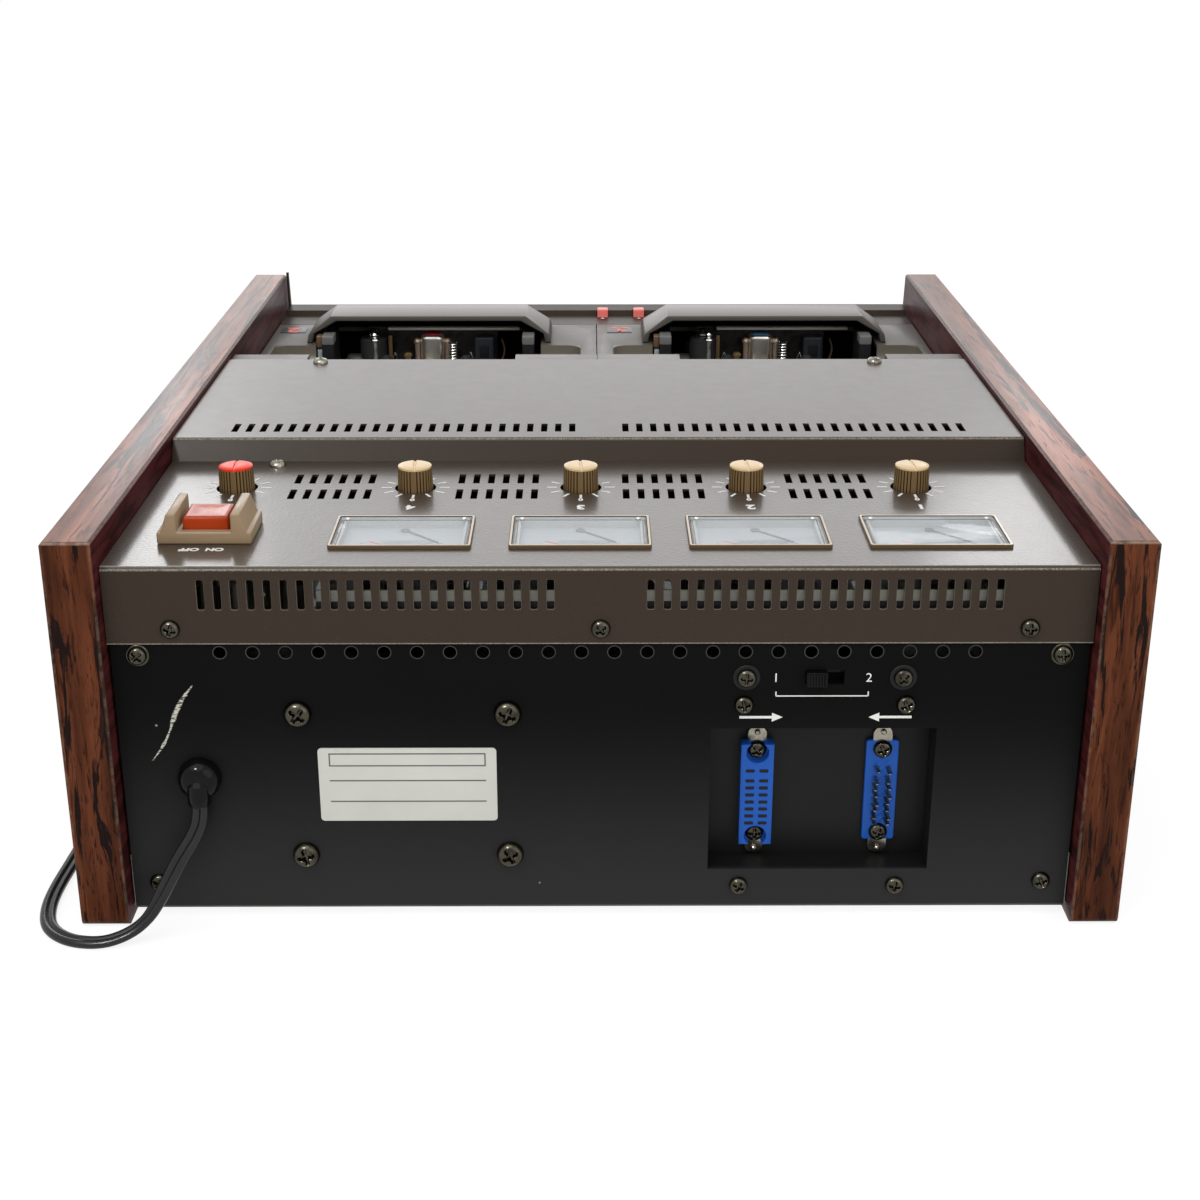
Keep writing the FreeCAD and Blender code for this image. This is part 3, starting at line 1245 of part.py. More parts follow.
doc.recompute()
belt_circles = []
for side in ("left", "motor", "right"):
    base = wheels[side].Placement.Base
    belt_circles.append((Vector(base.x, base.y, 0), wheels[side].Radius.Value))
inner_face = hull(belt_circles, value("belt_gap"))
belt_loop = hull(belt_circles, value("belt_gap") + value("belt_thick")).cut(inner_face)
belt = make("Part::Feature", "belt")
belt.Shape = belt_loop.extrude(Vector(0, 0, value("belt_tall")))
belt.Placement = Placement(
    Vector(0, 0, value("flywheel_low") + (value("flywheel_tall") - value("belt_tall")) / 2), Rotation())
node("drive_belt", belt)


# ---------------------------------------------------------------- head carriages, heads, rollers, spindles
PLATE_LOW = "(frame_level+axial_gap)"
PLATE_TOP = f"({PLATE_LOW}+carriage_thick)"
MOUNT_TOP = f"({PLATE_TOP}+mount_tall)"
DISC_LOW = f"({BOSS_TOP}+axial_gap)"
for side, well in WELLS.items():
    roller_at = (f"{well}+roller_x", y_at("roller_inset"))
    node(f"head_carriage_{side}", fuse(
        block(middle(well, "2*carriage_half"), ahead("carriage_back", "carriage_front"),
              (PLATE_LOW, PLATE_TOP)),
        block(middle(well, "2*shield_half"), ahead("shield_back", "shield_back+shield_thick"),
              (PLATE_TOP, "shield_high")),
        rod("z", roller_at, (PLATE_TOP, "roller_low-axial_gap"), "roller_collar"),
        rod("z", roller_at, (PLATE_TOP, "axle_high"), "axle_radius"),
        name=f"carriage_{side}_solid",
    ))
    spring_at = (f"{well}+spring_x", y_at("spring_inset"))
    play_head = fuse(
        block(middle(well, "2*head_base"), ahead("mount_back", "head_back+head_deep"),
              (PLATE_TOP, MOUNT_TOP)),
        block(middle(well, "2*head_half"), ahead("head_back", "head_back+head_deep"),
              (MOUNT_TOP, "head_high")),
        name="play_head",
    )
    erase_head = block(middle(f"{well}+erase_x", "2*erase_half"),
                       ahead("erase_back", "erase_back+head_deep"), (PLATE_TOP, "erase_high"), "erase_head")
    spring = cut(
        rod("z", spring_at, (MOUNT_TOP, "spring_high"), "spring_radius"),
        rod("z", spring_at, (f"{MOUNT_TOP}-past", "spring_high+past"), "spring_radius-spring_wall"),
        name="azimuth_spring",
    )
    spring_screw = rod("z", spring_at, (MOUNT_TOP, "spring_high"), "spring_screw", "azimuth_screw")
    node(f"tape_heads_{side}", group(play_head, erase_head, spring, spring_screw, name=f"heads_{side}"))
    node(f"pinch_roller_{side}", cut(
        rod("z", roller_at, ("roller_low", "roller_low+roller_tall"), "roller_radius"),
        rod("z", roller_at, ("roller_low-past", "roller_low+roller_tall+past"), "axle_radius+running_gap"),
        name=f"roller_{side}_cut",
    ))

for name, place in SPINDLES.items():
    x, y = standing(place)
    disc_top = f"({DISC_LOW}+disc_thick)"
    fins = []
    for turn in (0, 120, 240):
        fin = group(block(("0", "hub_fin"), middle("0", "hub_fin_thick"),
                          ("0", f"hub_high-hub_tip-{disc_top}")))
        fin.Placement = Placement(Vector(), Rotation(Vector(0, 0, 1), turn))
        fins.append(bind(fin, Placement__Base__x=x, Placement__Base__y=y, Placement__Base__z=disc_top))
    node(name, fuse(
        rod("z", (x, y), (DISC_LOW, disc_top), "hub_disc"),
        rod("z", (x, y), (disc_top, "hub_high-hub_tip"), "hub_core"),
        cone("z", (x, y), ("hub_high-hub_tip", "hub_high"), "hub_core", "hub_core/2"),
        rod("z", (x, y), (f"{DISC_LOW}-hub_pin", DISC_LOW), "axle_radius"),
        *fins,
        name=f"{name}_solid",
    ))


# ---------------------------------------------------------------- mains cord, its coil and plug
COIL_Y = y_at("coil_inset")
COIL_X = "(case_width/2+coil_clear+coil_outer)"
LANE_X = f"({COIL_X}-sqrt(coil_outer*coil_outer-coil_end*coil_end)+cord_radius)"
lane = (f"{LANE_X}-coil_outer", f"{LANE_X}+cord_radius+coil_gap")
coil_at = (COIL_X, COIL_Y)
COIL_CUT = ("-past", "coil_tall+past")
coil_disc = rod("z", coil_at, ("0", "coil_tall"), "coil_outer")
node("cord_coil", cut(
    coil_disc,
    rod("z", coil_at, COIL_CUT, "coil_inner"),
    block(lane, ahead("coil_inset-coil_outer", "coil_inset-coil_end"), COIL_CUT),
    name="coil_cut",
))

# The plug lies on the coil, over the middle of its turns.
PLUG_X = f"({COIL_X}-(coil_outer+coil_inner)/2)"
PLUG_BACK = "(coil_inset-coil_end)"
blades = [
    block(middle(f"{PLUG_X}+{side}*blade_apart/2", "blade_thick"),
          ahead(f"{PLUG_BACK}+plug_long", f"{PLUG_BACK}+plug_long+blade_long"),
          middle("coil_tall+plug_tall/2", "blade_wide"), "blade")
    for side in (-1, 1)
]
node("power_plug", group(
    block(middle(PLUG_X, "plug_wide"), ahead(PLUG_BACK, f"{PLUG_BACK}+plug_long"),
          ("coil_tall", "coil_tall+plug_tall")),
    *blades,
    name="plug_pieces",
))
doc.recompute()

# Each point of the cord: its share of the way across from the strain relief to the coil's lane,
# its distance forward of the wood's rear edge, and its height.
cord_radius = value("cord_radius")
CORD_ROUTE = [
    (0, 3.4, 51),
    (0, 3.4, 45),
    (0.039, 0.6, 38.8),
    (0.115, -2.6, 32),
    (0.188, -4.2, 23.5),
    (0.254, -6.2, 15.5),
    (0.327, -8.8, 8.8),
    (0.434, -11.4, 4.9),
    (0.579, -14.2, 3.1),
    (0.759, -13, 3.1),
    (0.904, -6.6, 3.1),
    (0.986, 3, 3.1),
    (1.027, 21, 3.1),
    (1.002, 52, 3.1),
    (0.973, 100, 3.1),
    (1.005, 160, 3.1),
    (0.989, 224, 3.1),
    (1, 286, 3.1),
    (1, 338, 3.1),
]


def rounded_path(points):
    """Straight runs joined by arcs as large as the runs allow, and the arcs' radii."""
    radii, edges, start = [], [], points[0]
    for before, corner, after in zip(points, points[1:], points[2:]):
        back, on = before - corner, after - corner
        half = (math.pi - back.getAngle(on)) / 2
        reach = 0.45 * min(back.Length, on.Length)
        radii.append(reach / math.tan(half))
        back.normalize()
        on.normalize()
        inward = (back + on).normalize()
        enter, leave = corner + back * reach, corner + on * reach
        apex = corner + inward * (radii[-1] / math.cos(half) - radii[-1])
        edges += [Part.LineSegment(start, enter).toShape(), Part.Arc(enter, apex, leave).toShape()]
        start = leave
    edges.append(Part.LineSegment(start, points[-1]).toShape())
    return Part.Wire(edges), radii


spread = math.sqrt(value("coil_outer") ** 2 - value("coil_end") ** 2)
lane_x = coil_disc.Placement.Base.x - spread + cord_radius
relief_x = value("relief_x")
route = [Vector(relief_x + share * (lane_x - relief_x), value("case_depth") / 2 - inset, z)
         for share, inset, z in CORD_ROUTE]
path, radii = rounded_path(route)
ring = Part.Wire(Part.Circle(route[0], route[1] - route[0], cord_radius).toShape())
cord = make("Part::Feature", "cord")
cord.Shape = path.makePipeShell([ring], True, False)
node("power_cord", cord)
expected = math.pi * cord_radius ** 2 * path.Length
print("cord radii", [round(radius, 1) for radius in radii])
print("cord length", round(path.Length, 1), "volume ratio", round(cord.Shape.Volume / expected, 4))


# ---------------------------------------------------------------- checks and export
doc.recompute()
for obj in doc.Objects:
    if "Invalid" in obj.State or "Error" in obj.State:
        raise RuntimeError(f"{obj.Name} did not recompute")
os.makedirs("parts", exist_ok=True)
for name, obj in nodes.items():
    shape = obj.Shape
    if shape.isNull() or not shape.isValid():
        raise RuntimeError(f"{name} has no valid shape")
    if name != obj.Label:
        raise RuntimeError(f"{name} has the label {obj.Label}")
    shape.exportStep(f"parts/{name}.step")
print(len(nodes), "nodes")
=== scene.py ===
"""Finishes and fine pieces for a desktop cassette duplicator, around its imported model.

Lengths are in metres in the model's own frame: X to the user's right, +Y to the rear, Z up.
"""

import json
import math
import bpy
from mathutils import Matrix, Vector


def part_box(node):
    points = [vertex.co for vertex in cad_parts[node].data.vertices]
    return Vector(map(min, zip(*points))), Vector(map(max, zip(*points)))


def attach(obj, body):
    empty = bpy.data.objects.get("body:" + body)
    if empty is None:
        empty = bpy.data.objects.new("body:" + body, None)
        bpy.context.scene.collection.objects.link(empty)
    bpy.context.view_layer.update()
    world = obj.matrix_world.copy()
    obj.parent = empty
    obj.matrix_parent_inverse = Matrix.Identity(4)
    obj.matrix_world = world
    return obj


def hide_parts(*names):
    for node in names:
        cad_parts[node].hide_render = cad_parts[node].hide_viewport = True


bl_info = {
    "name": "Cassette Duplicator Dressing",
    "version": (1, 0, 0),
    "blender": (4, 5, 0),
    "location": "View3D > Sidebar > Duplicator",
    "description": "Dresses a packed cassette duplicator with finishes, trim, cord and studio",
    "category": "Object",
}

import bmesh
import bpy
import numpy as np
from mathutils import Matrix, Vector

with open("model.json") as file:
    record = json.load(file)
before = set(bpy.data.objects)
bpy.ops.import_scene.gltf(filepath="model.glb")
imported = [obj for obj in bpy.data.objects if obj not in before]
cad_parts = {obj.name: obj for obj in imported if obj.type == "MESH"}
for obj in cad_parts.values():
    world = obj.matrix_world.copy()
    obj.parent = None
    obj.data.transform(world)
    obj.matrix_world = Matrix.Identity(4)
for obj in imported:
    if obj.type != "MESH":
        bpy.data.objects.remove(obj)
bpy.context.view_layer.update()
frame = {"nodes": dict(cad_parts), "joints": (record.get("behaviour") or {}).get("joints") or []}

MM = 0.001
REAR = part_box("side_panel_right")[1].y          # rear edge of the wood
COVER_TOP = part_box("control_cover")[1].z        # painted control surface
PANEL_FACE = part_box("rear_panel")[1].y          # outer face of the rear panel
DECK_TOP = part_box("head_hoods")[0].z            # deck surface
SIDES = {"right": 1, "left": -1}
TRACKS = range(1, 5)
KNOBS = ["master_knob"] + [f"level_knob_{i}" for i in TRACKS]
RED_BUTTONS = ["red_button_1", "red_button_2"]
WELL_REACH = 91.5 * MM                          # middle of a cassette well from the guide posts' middle
POST_REACH = 54.25 * MM                         # guide post from the middle of its well
CONNECTOR_X, CONNECTOR_Z = -82.9 * MM, 48 * MM  # middle between the two multi-pin connectors
LATCH_X = (23.5 * MM, -24.3 * MM)               # the connectors' latch tabs from that middle


def centre(node):
    """The middle of a model node's box."""
    low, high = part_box(node)
    return (low + high) / 2


def inset(millimetres):
    """The Y coordinate of a distance forward of the rear edge, given in millimetres."""
    return REAR - millimetres * MM


def joint_place(joint):
    """Where a joint of the model stands."""
    return next(j for j in frame["joints"] if j["name"] == joint)["pos_m"]


WELL_X = {side: centre("guide_posts").x + sign * WELL_REACH for side, sign in SIDES.items()}
METER_X = [joint_place(f"meter_needle_{i}_swing")[0] for i in TRACKS]
METER_Y = inset(43)


# ------------------------------------------------------------------ settings
def colour(name, value, note):
    return bpy.props.FloatVectorProperty(name=name, description=note, subtype="COLOR", size=3, min=0, max=1,
                                         default=value)


def length(name, value, note):
    return bpy.props.FloatProperty(name=name, description=note, unit="LENGTH", default=value, precision=5)


def amount(name, value, note):
    return bpy.props.FloatProperty(name=name, description=note, subtype="FACTOR", min=0, max=1, default=value)


def watts(name, value, note):
    return bpy.props.FloatProperty(name=name, description=note, unit="POWER", min=0, default=value)


class DUPLICATOR_PG_finishes(bpy.types.PropertyGroup):
    """Colours of the case and its fittings"""

    wood: colour("Wood", (0.094, 0.028, 0.012), "Ground colour of the rosewood veneer")
    wood_figure: colour("Wood figure", (0.012, 0.006, 0.005), "Dark streaks of the veneer")
    wood_inner: colour("Inner wood", (0.075, 0.016, 0.016), "Wine red inner faces of the side panels")
    paint: colour("Cover paint", (0.046, 0.033, 0.0235), "Taupe paint of the sheet covers")
    rear_paint: colour("Rear paint", (0.0090, 0.0094, 0.0090), "Satin black of the rear panel")
    deck: colour("Deck", (0.108, 0.098, 0.086), "Moulded deck panels")
    knob: colour("Knob skirt", (0.20, 0.125, 0.052), "Fluted skirts of the level knobs")
    knob_cap: colour("Knob cap", (0.75, 0.545, 0.30), "Caps of the track knobs")
    red: colour("Red parts", (0.86, 0.045, 0.016), "Master knob cap and small deck buttons")
    orange: colour("Power button", (0.43, 0.050, 0.010), "Power push button")
    guard: colour("Switch guard", (0.36, 0.255, 0.155), "Guard of the power button")
    bezel: colour("Meter frames", (0.135, 0.092, 0.046), "Bronze frames of the level meters")
    dial: colour("Meter dial", (0.62, 0.66, 0.7), "Dial plates of the level meters")
    connector: colour("Connectors", (0.010, 0.098, 0.46), "Multi-pin connector mouldings")
    print_white: colour("Print", (0.86, 0.85, 0.82), "White marks on the panels")


class DUPLICATOR_PG_sizes(bpy.types.PropertyGroup):
    """Sizes of the fine pieces"""

    flutes: bpy.props.IntProperty(name="Flutes", description="Flutes round a knob skirt", default=32, min=8)
    flute_depth: length("Flute depth", 0.0005, "Depth of a knob flute")
    tick_inner: length("Tick start", 0.0096, "Inner end of a printed tick from its knob's axis")
    tick_outer: length("Tick end", 0.0137, "Outer end of a printed tick from its knob's axis")
    print_thick: length("Print thickness", 0.00005, "Thickness of printed marks")
    core_width: length("Cord width", 0.0062, "Width of the flat two-core cord")
    core_thick: length("Cord thickness", 0.0033, "Thickness of the flat two-core cord")


class DUPLICATOR_PG_stage(bpy.types.PropertyGroup):
    """Camera and light"""

    lens: bpy.props.FloatProperty(name="Lens", description="Focal length in millimetres", unit="CAMERA",
                                  min=1, default=56.19)
    key_light: watts("Key light", 7.5, "Soft light above the rear")
    fill_light: watts("Fill light", 5.0, "Soft light behind the camera")
    front_light: watts("Front light", 6.5, "Soft light low beyond the front")
    spark_light: watts("Small light", 14.0, "Small bright light that puts glints on curved parts")
    glint_light: watts("Glint light", 1.3, "Each of two lights low in front that glance off the cover")
    ambient: amount("Ambient", 0.60, "Strength of the surrounding white light on the object")


def finishes():
    """The colours that are set in the panel."""
    return bpy.context.scene.duplicator_finishes


def sizes():
    """The sizes that are set in the panel."""
    return bpy.context.scene.duplicator_sizes


# ------------------------------------------------------------------ materials
class Finish:
    """A material with one Principled shader, and short ways to wire procedural nodes into it."""

    def __init__(self, name, base, roughness, metallic=0.0, **constants):
        self.material = bpy.data.materials.new(name)
        self.material.use_nodes = True
        self.tree = self.material.node_tree
        self.shader = self.tree.nodes["Principled BSDF"]
        self.set("Base Color", (*base, 1))
        self.set("Roughness", roughness)
        self.set("Metallic", metallic)
        for word, value in constants.items():
            self.set(word.replace("_", " ").title().replace("Ior", "IOR"), value)
        self.place = self.add("TexCoord").outputs["Object"]

    def set(self, socket, value):
        """Gives an input of the shader a value or a link."""
        self.wire(self.shader.inputs[socket], value)
        return self

    def wire(self, socket, value):
        if isinstance(value, bpy.types.NodeSocket):
            self.tree.links.new(value, socket)
        else:
            socket.default_value = value

    def add(self, kind, inputs=None, **settings):
        """A shader node with its settings, and values or links for its inputs."""
        node = self.tree.nodes.new("ShaderNode" + kind)
        for word, value in settings.items():
            setattr(node, word, value)
        for key, value in (inputs or {}).items():
            self.wire(node.inputs[key], value)
        return node

    def mapped(self, scale=(1, 1, 1), turn=(0, 0, 0), move=(0, 0, 0), source=None):
        inputs = {"Vector": source or self.place, "Scale": scale, "Rotation": turn, "Location": move}
        return self.add("Mapping", inputs).outputs[0]

    def noise(self, scale, detail, source=None, distortion=0.0, roughness=0.55):
        inputs = {"Vector": source or self.place, "Scale": scale, "Detail": detail,
                  "Distortion": distortion, "Roughness": roughness}
        return self.add("TexNoise", inputs).outputs[0]

    def calc(self, operation, first, second=0.0, third=0.0):
        return self.add("Math", {0: first, 1: second, 2: third}, operation=operation).outputs[0]

    def plus(self, first, second):
        return self.calc("ADD", first, second)

    def less(self, first, second):
        return self.calc("SUBTRACT", first, second)

    def times(self, first, second):
        return self.calc("MULTIPLY", first, second)

    def over(self, first, second):
        return self.calc("DIVIDE", first, second)

    def most(self, first, second):
        return self.calc("MAXIMUM", first, second)

    def size_of(self, value):
        return self.calc("ABSOLUTE", value)

    def band(self, value, low, high):
        """0 below low, 1 above high, smooth between; low may be the larger."""
        node = self.add("MapRange", {"Value": value, "From Min": low, "From Max": high},
                        interpolation_type="SMOOTHSTEP", clamp=True)
        return node.outputs[0]

    def spread(self, value, low, high):
        """A 0 to 1 value spread from low to high."""
        return self.add("MapRange", {"Value": value, "To Min": low, "To Max": high}).outputs[0]

    def mix(self, share, first, second, blend="MIX"):
        """Two colours mixed by a share, which is 1 for the second."""
        node = self.add("Mix", data_type="RGBA", blend_type=blend)
        self.wire(node.inputs[0], share)
        for socket, tone in ((node.inputs[6], first), (node.inputs[7], second)):
            self.wire(socket, tone if isinstance(tone, bpy.types.NodeSocket) else (*tone[:3], 1))
        return node.outputs[2]

    def ramp(self, value, stops):
        node = self.add("ValToRGB", {0: value})
        band = node.color_ramp
        while len(band.elements) < len(stops):
            band.elements.new(0.5)
        for element, (at, tone) in zip(band.elements, stops):
            element.position = at
            element.color = (*tone[:3], 1)
        return node.outputs[0]

    def lacquer(self, coat, gloss, side=0.12, share=1.0):
        """Coat and gloss that are full on upward faces and weak on upright ones."""
        up = self.band(self.normal()[2], 0.6, 0.9)
        self.set("Coat Weight", self.spread(up, coat * side, coat))
        return self.set("Specular IOR Level", self.times(self.spread(up, gloss * side, gloss), share))

    def split(self, source=None):
        return self.add("SeparateXYZ", {0: source or self.place}).outputs

    def normal(self):
        """The face's own direction, before any bump, as three values."""
        return self.split(self.add("NewGeometry").outputs["True Normal"])

    def bump(self, height, distance, strength):
        node = self.add("Bump", {"Height": height, "Distance": distance, "Strength": strength})
        return self.set("Normal", node.outputs[0])


def tinted(tone, factor):
    """A tone made lighter or darker."""
    return tuple(min(1.0, c * factor) for c in tone[:3])


def plain_finish(name, tone, roughness, metallic=0.0, grain=1200, depth=0.00004, wear=0.12, lacquer=None,
                 **constants):
    """A moulded or plated finish: cloudy tone, uneven gloss and a fine grain."""
    finish = Finish(name, tone, roughness, metallic, **constants)
    if lacquer:
        finish.lacquer(*lacquer)
    cloud = finish.noise(26, 4)
    finish.set("Base Color", finish.mix(cloud, tinted(tone, 1 - wear), tinted(tone, 1 + wear)))
    finish.set("Roughness", finish.spread(finish.noise(90, 3), roughness * 0.85, min(1, roughness * 1.15)))
    finish.bump(finish.noise(grain, 2), depth, 0.5)
    return finish.material


def rosewood():
    """Veneer with streaks along the panel, up the end faces, and wine red inner faces; a painted sheen on the
    tops and a painted highlight, with some wear, on the rounded edges.
    """
    tones = finishes()
    finish = Finish("rosewood", tones.wood, 0.34, coat_roughness=0.22)
    across = finish.split()
    near = finish.band(across[1], -0.10, 0.40)
    finish.lacquer(0.03, 1.0, 0.1, finish.spread(near, 0.16, 0.58))
    facing = finish.normal()
    upright = finish.band(finish.size_of(facing[1]), 0.55, 0.75)
    along = finish.mapped(scale=(92, 6.5, 60))
    ends = finish.mapped(scale=(150, 60, 15), turn=(0, 0.05, 0))
    course = finish.add("Mix", {"Factor": upright}, data_type="VECTOR")
    finish.wire(course.inputs[4], along)
    finish.wire(course.inputs[5], ends)
    flow = course.outputs[1]
    ground = finish.ramp(finish.noise(0.7, 4, flow, 0.8), [
        (0.34, tinted(tones.wood, 0.5)), (0.5, tones.wood), (0.68, tinted(tones.wood, 1.9))])
    grain = finish.noise(3.4, 5, flow, 0.7, 0.65)
    streaked = finish.mix(finish.band(grain, 0.50, 0.66), ground, tinted(tones.wood, 0.42))
    figure = finish.noise(0.85, 6, finish.mapped(move=(3.1, 0.7, 5.2), source=flow), 1.9, 0.6)
    veins = finish.times(finish.band(figure, 0.55, 0.585), finish.band(grain, 0.33, 0.47))
    dark = finish.mix(veins, streaked, tones.wood_figure)
    pores = finish.band(finish.noise(9.0, 3, flow), 0.60, 0.66)
    whole = finish.mix(finish.times(pores, 0.7), dark, tinted(tones.wood, 0.16))
    # Painted sheen: the top faces are made lighter and greyer, as light falls on them.
    up = finish.band(facing[2], 0.6, 0.9)
    painted_top_sheen = finish.mix(0.18, finish.mix(1.0, whole, (2.7, 3.1, 3.9), "MULTIPLY"), (0.20, 0.17, 0.18))
    whole = finish.mix(up, whole, painted_top_sheen)
    inward = finish.times(facing[0], finish.calc("SIGN", across[0]))
    inner = finish.band(inward, -0.3, -0.6)
    toned = finish.mix(inner, whole, finish.mix(
        finish.band(grain, 0.42, 0.62), tones.wood_inner, tinted(tones.wood_inner, 0.35)))
    aside = finish.size_of(across[0])
    side_low, side_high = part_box("side_panel_right")
    gaps = (finish.calc("MINIMUM", finish.less(aside, side_low.x), finish.less(side_high.x, aside)),
            finish.less(side_high.z, across[2]), finish.less(REAR, across[1]))
    by_side, by_top, by_rear = (finish.band(gap, 0.0013, 0.0005) for gap in gaps)
    # Painted highlight with some wear: the rounded edges of the top and the rear end are painted a paler
    # brown.
    long_edges = finish.most(finish.times(by_side, by_top), finish.times(by_side, by_rear))
    wear_and_edge_highlight = finish.most(finish.times(long_edges, 0.3), finish.times(by_top, by_rear))
    wear_and_edge_highlight = finish.times(wear_and_edge_highlight, finish.spread(finish.band(finish.noise(300, 3), 0.4, 0.6), 0.25, 0.85))
    finish.set("Base Color", finish.mix(wear_and_edge_highlight, toned, (0.30, 0.21, 0.15)))
    finish.set("Roughness", finish.spread(grain, 0.26, 0.42))
    finish.bump(finish.less(grain, pores), 0.00008, 0.4)
    return finish.material


def cover_paint(name, tone, coat, gloss, lines=(), depth=0.00016):
    """Semi-gloss paint with orange peel. Lines are edges along X painted bright, as paint wear and a
    painted highlight of the bend, given as (Y, Z, width, share of the edge that is broken up)."""
    finish = Finish(name, tone, 0.33, coat_roughness=0.16)
    finish.lacquer(coat, gloss)
    cloud = finish.noise(9, 4)
    painted = finish.mix(cloud, tinted(tone, 0.94), tinted(tone, 1.08))
    speckle = finish.band(finish.noise(700, 1), 0.70, 0.78)
    painted = finish.mix(finish.times(speckle, 0.18), painted, tinted(tone, 2.2))
    at = finish.split()
    chips = finish.band(finish.noise(2200, 2), 0.44, 0.56)
    for line_y, line_z, width, broken in lines:
        squares = [finish.calc("POWER", finish.less(at[axis], middle), 2.0)
                   for axis, middle in ((1, line_y), (2, line_z))]
        gap = finish.calc("SQRT", finish.plus(*squares))
        # Paint wear and a painted highlight of the edge, as one pale line.
        wear_and_edge_highlight = finish.times(finish.band(gap, width, width * 0.3), finish.spread(chips, 1 - broken, 1.0))
        painted = finish.mix(wear_and_edge_highlight, painted, (0.30, 0.27, 0.22))
    finish.set("Base Color", painted)
    finish.set("Roughness", finish.spread(finish.noise(160, 3), 0.34, 0.41))
    peel = finish.noise(750, 2, roughness=0.4)
    finish.bump(peel, depth, 0.6)
    return finish.material


def rear_black():
    """Satin black with dust specks and one chalky scuff beside the cord, painted paler towards its foot as a
    reflection of the floor.
    """
    tone = finishes().rear_paint
    finish = Finish("rear_black", tone, 0.42)
    at = finish.split()
    # Painted reflection of the floor: the paint is made paler, and glossier, towards the foot.
    low = finish.band(at[2], 0.095, 0.0)
    finish.set("Specular IOR Level", finish.spread(low, 0.02, 0.16))
    base = finish.mix(finish.noise(7, 4), finish.mix(low, tinted(tone, 0.4), tinted(tone, 1.7)),
                      finish.mix(low, tinted(tone, 0.9), tinted(tone, 2.7)))
    cells = finish.add("TexVoronoi", {"Vector": finish.place, "Scale": 85.0})
    chosen = finish.band(finish.split(cells.outputs["Color"])[0], 0.955, 0.96)
    speck = finish.times(chosen, finish.band(cells.outputs["Distance"], 0.05, 0.025))
    base = finish.mix(speck, base, (0.32, 0.31, 0.27))
    start, end = Vector((0.1497, 0.0978)), Vector((0.1675, 0.0664))
    run = end - start
    off_x, off_z = finish.less(at[0], start.x), finish.less(at[2], start.y)
    along = finish.plus(finish.times(off_x, run.x), finish.times(off_z, run.y))
    along = finish.over(along, run.length_squared)
    off = finish.over(finish.less(finish.times(off_x, run.y), finish.times(off_z, run.x)), run.length)
    sway = finish.times(finish.calc("SINE", finish.times(along, 6.3)), -0.0009)
    gap = finish.size_of(finish.less(off, sway))
    within = finish.times(finish.band(along, 0.0, 0.04), finish.band(along, 1.0, 0.93))
    widths = ((0.0, 0.15), (0.16, 0.75), (0.42, 1.0), (0.60, 0.30), (0.80, 0.62), (0.93, 0.10), (0.98, 0.35))
    thick = finish.ramp(along, [(place, (share,) * 3) for place, share in widths])
    ragged = finish.times(finish.spread(finish.noise(420, 2), 0.0003, 0.0021), thick)
    scuff = finish.times(within, finish.band(finish.over(gap, ragged), 1.0, 0.45))
    dashes = finish.noise(1.0, 2, finish.mapped(scale=(420, 1, 1900)))
    chalk = finish.times(scuff, finish.band(dashes, 0.40, 0.52))
    base = finish.mix(chalk, base, (0.62, 0.60, 0.52))
    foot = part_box("rear_panel")[0].z
    rim = finish.times(finish.band(at[2], foot + 0.0010, foot + 0.0003),
                       finish.spread(finish.noise(90, 3), 0.3, 1.0))
    base = finish.mix(rim, base, (0.16, 0.155, 0.14))
    finish.set("Base Color", base)
    finish.set("Roughness", finish.spread(finish.noise(55, 4), 0.36, 0.52))
    finish.bump(finish.noise(900, 2), 0.00005, 0.5)
    return finish.material


def plated(name, tone, roughness, brushed=None, stained=0.5, grain=0.00001):
    """Plated metal with a cloudy, slightly stained gloss; brushed gives the scratches' scale and
    stained how dark the stains are."""
    finish = Finish(name, tone, roughness, 1.0)
    stain = finish.noise(240, 4)
    finish.set("Base Color", finish.mix(finish.band(stain, 0.45, 0.7), tone, tinted(tone, 1 - stained)))
    finish.set("Roughness", finish.spread(finish.noise(600, 2), roughness * 0.8, roughness * 1.3))
    course = finish.mapped(scale=brushed) if brushed else finish.place
    finish.bump(finish.noise(1.0 if brushed else 900, 3, course), grain, 0.4)
    return finish.material


def clear_glass():
    """Clear window plastic with an uneven gloss."""
    finish = Finish("meter_window", (0.68, 0.71, 0.73), 0.05, alpha=0.22, ior=1.5)
    finish.set("Roughness", finish.spread(finish.noise(60, 3), 0.03, 0.09))
    return finish.material


def rating_foil():
    """Pale foil with two thin printed rules and an empty outlined field."""
    low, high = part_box("rating_plate")
    width, tall = high.x - low.x, high.z - low.z
    finish = Finish("rating_foil", (0.66, 0.65, 0.60), 0.34, 0.25)
    at = finish.split()
    across = finish.over(finish.less(high.x, at[0]), width)
    up = finish.over(finish.less(at[2], low.z), tall)

    def inside(value, start, end, soft=0.002):
        return finish.times(finish.band(value, start - soft, start + soft),
                           finish.band(value, end + soft, end - soft))

    span = inside(across, 0.06, 0.94)
    rules = [finish.times(span, inside(up, level - 0.009, level + 0.009, 0.004)) for level in (0.555, 0.27)]
    outer = finish.times(span, inside(up, 0.75, 0.93, 0.004))
    inner = finish.times(inside(across, 0.068, 0.932), inside(up, 0.768, 0.912, 0.004))
    pattern = finish.most(finish.most(*rules), finish.less(outer, inner))
    sheen = finish.mix(finish.noise(40, 3), (0.55, 0.545, 0.50), (0.70, 0.69, 0.64))
    grime = finish.band(finish.noise(120, 5), 0.66, 0.78)
    sheen = finish.mix(finish.times(grime, 0.35), sheen, (0.3, 0.28, 0.24))
    finish.set("Base Color", finish.mix(finish.times(pattern, 0.9), sheen, (0.035, 0.035, 0.035)))
    finish.set("Roughness", finish.spread(finish.noise(300, 2), 0.28, 0.42))
    finish.bump(finish.noise(500, 2), 0.00003, 0.4)
    return finish.material


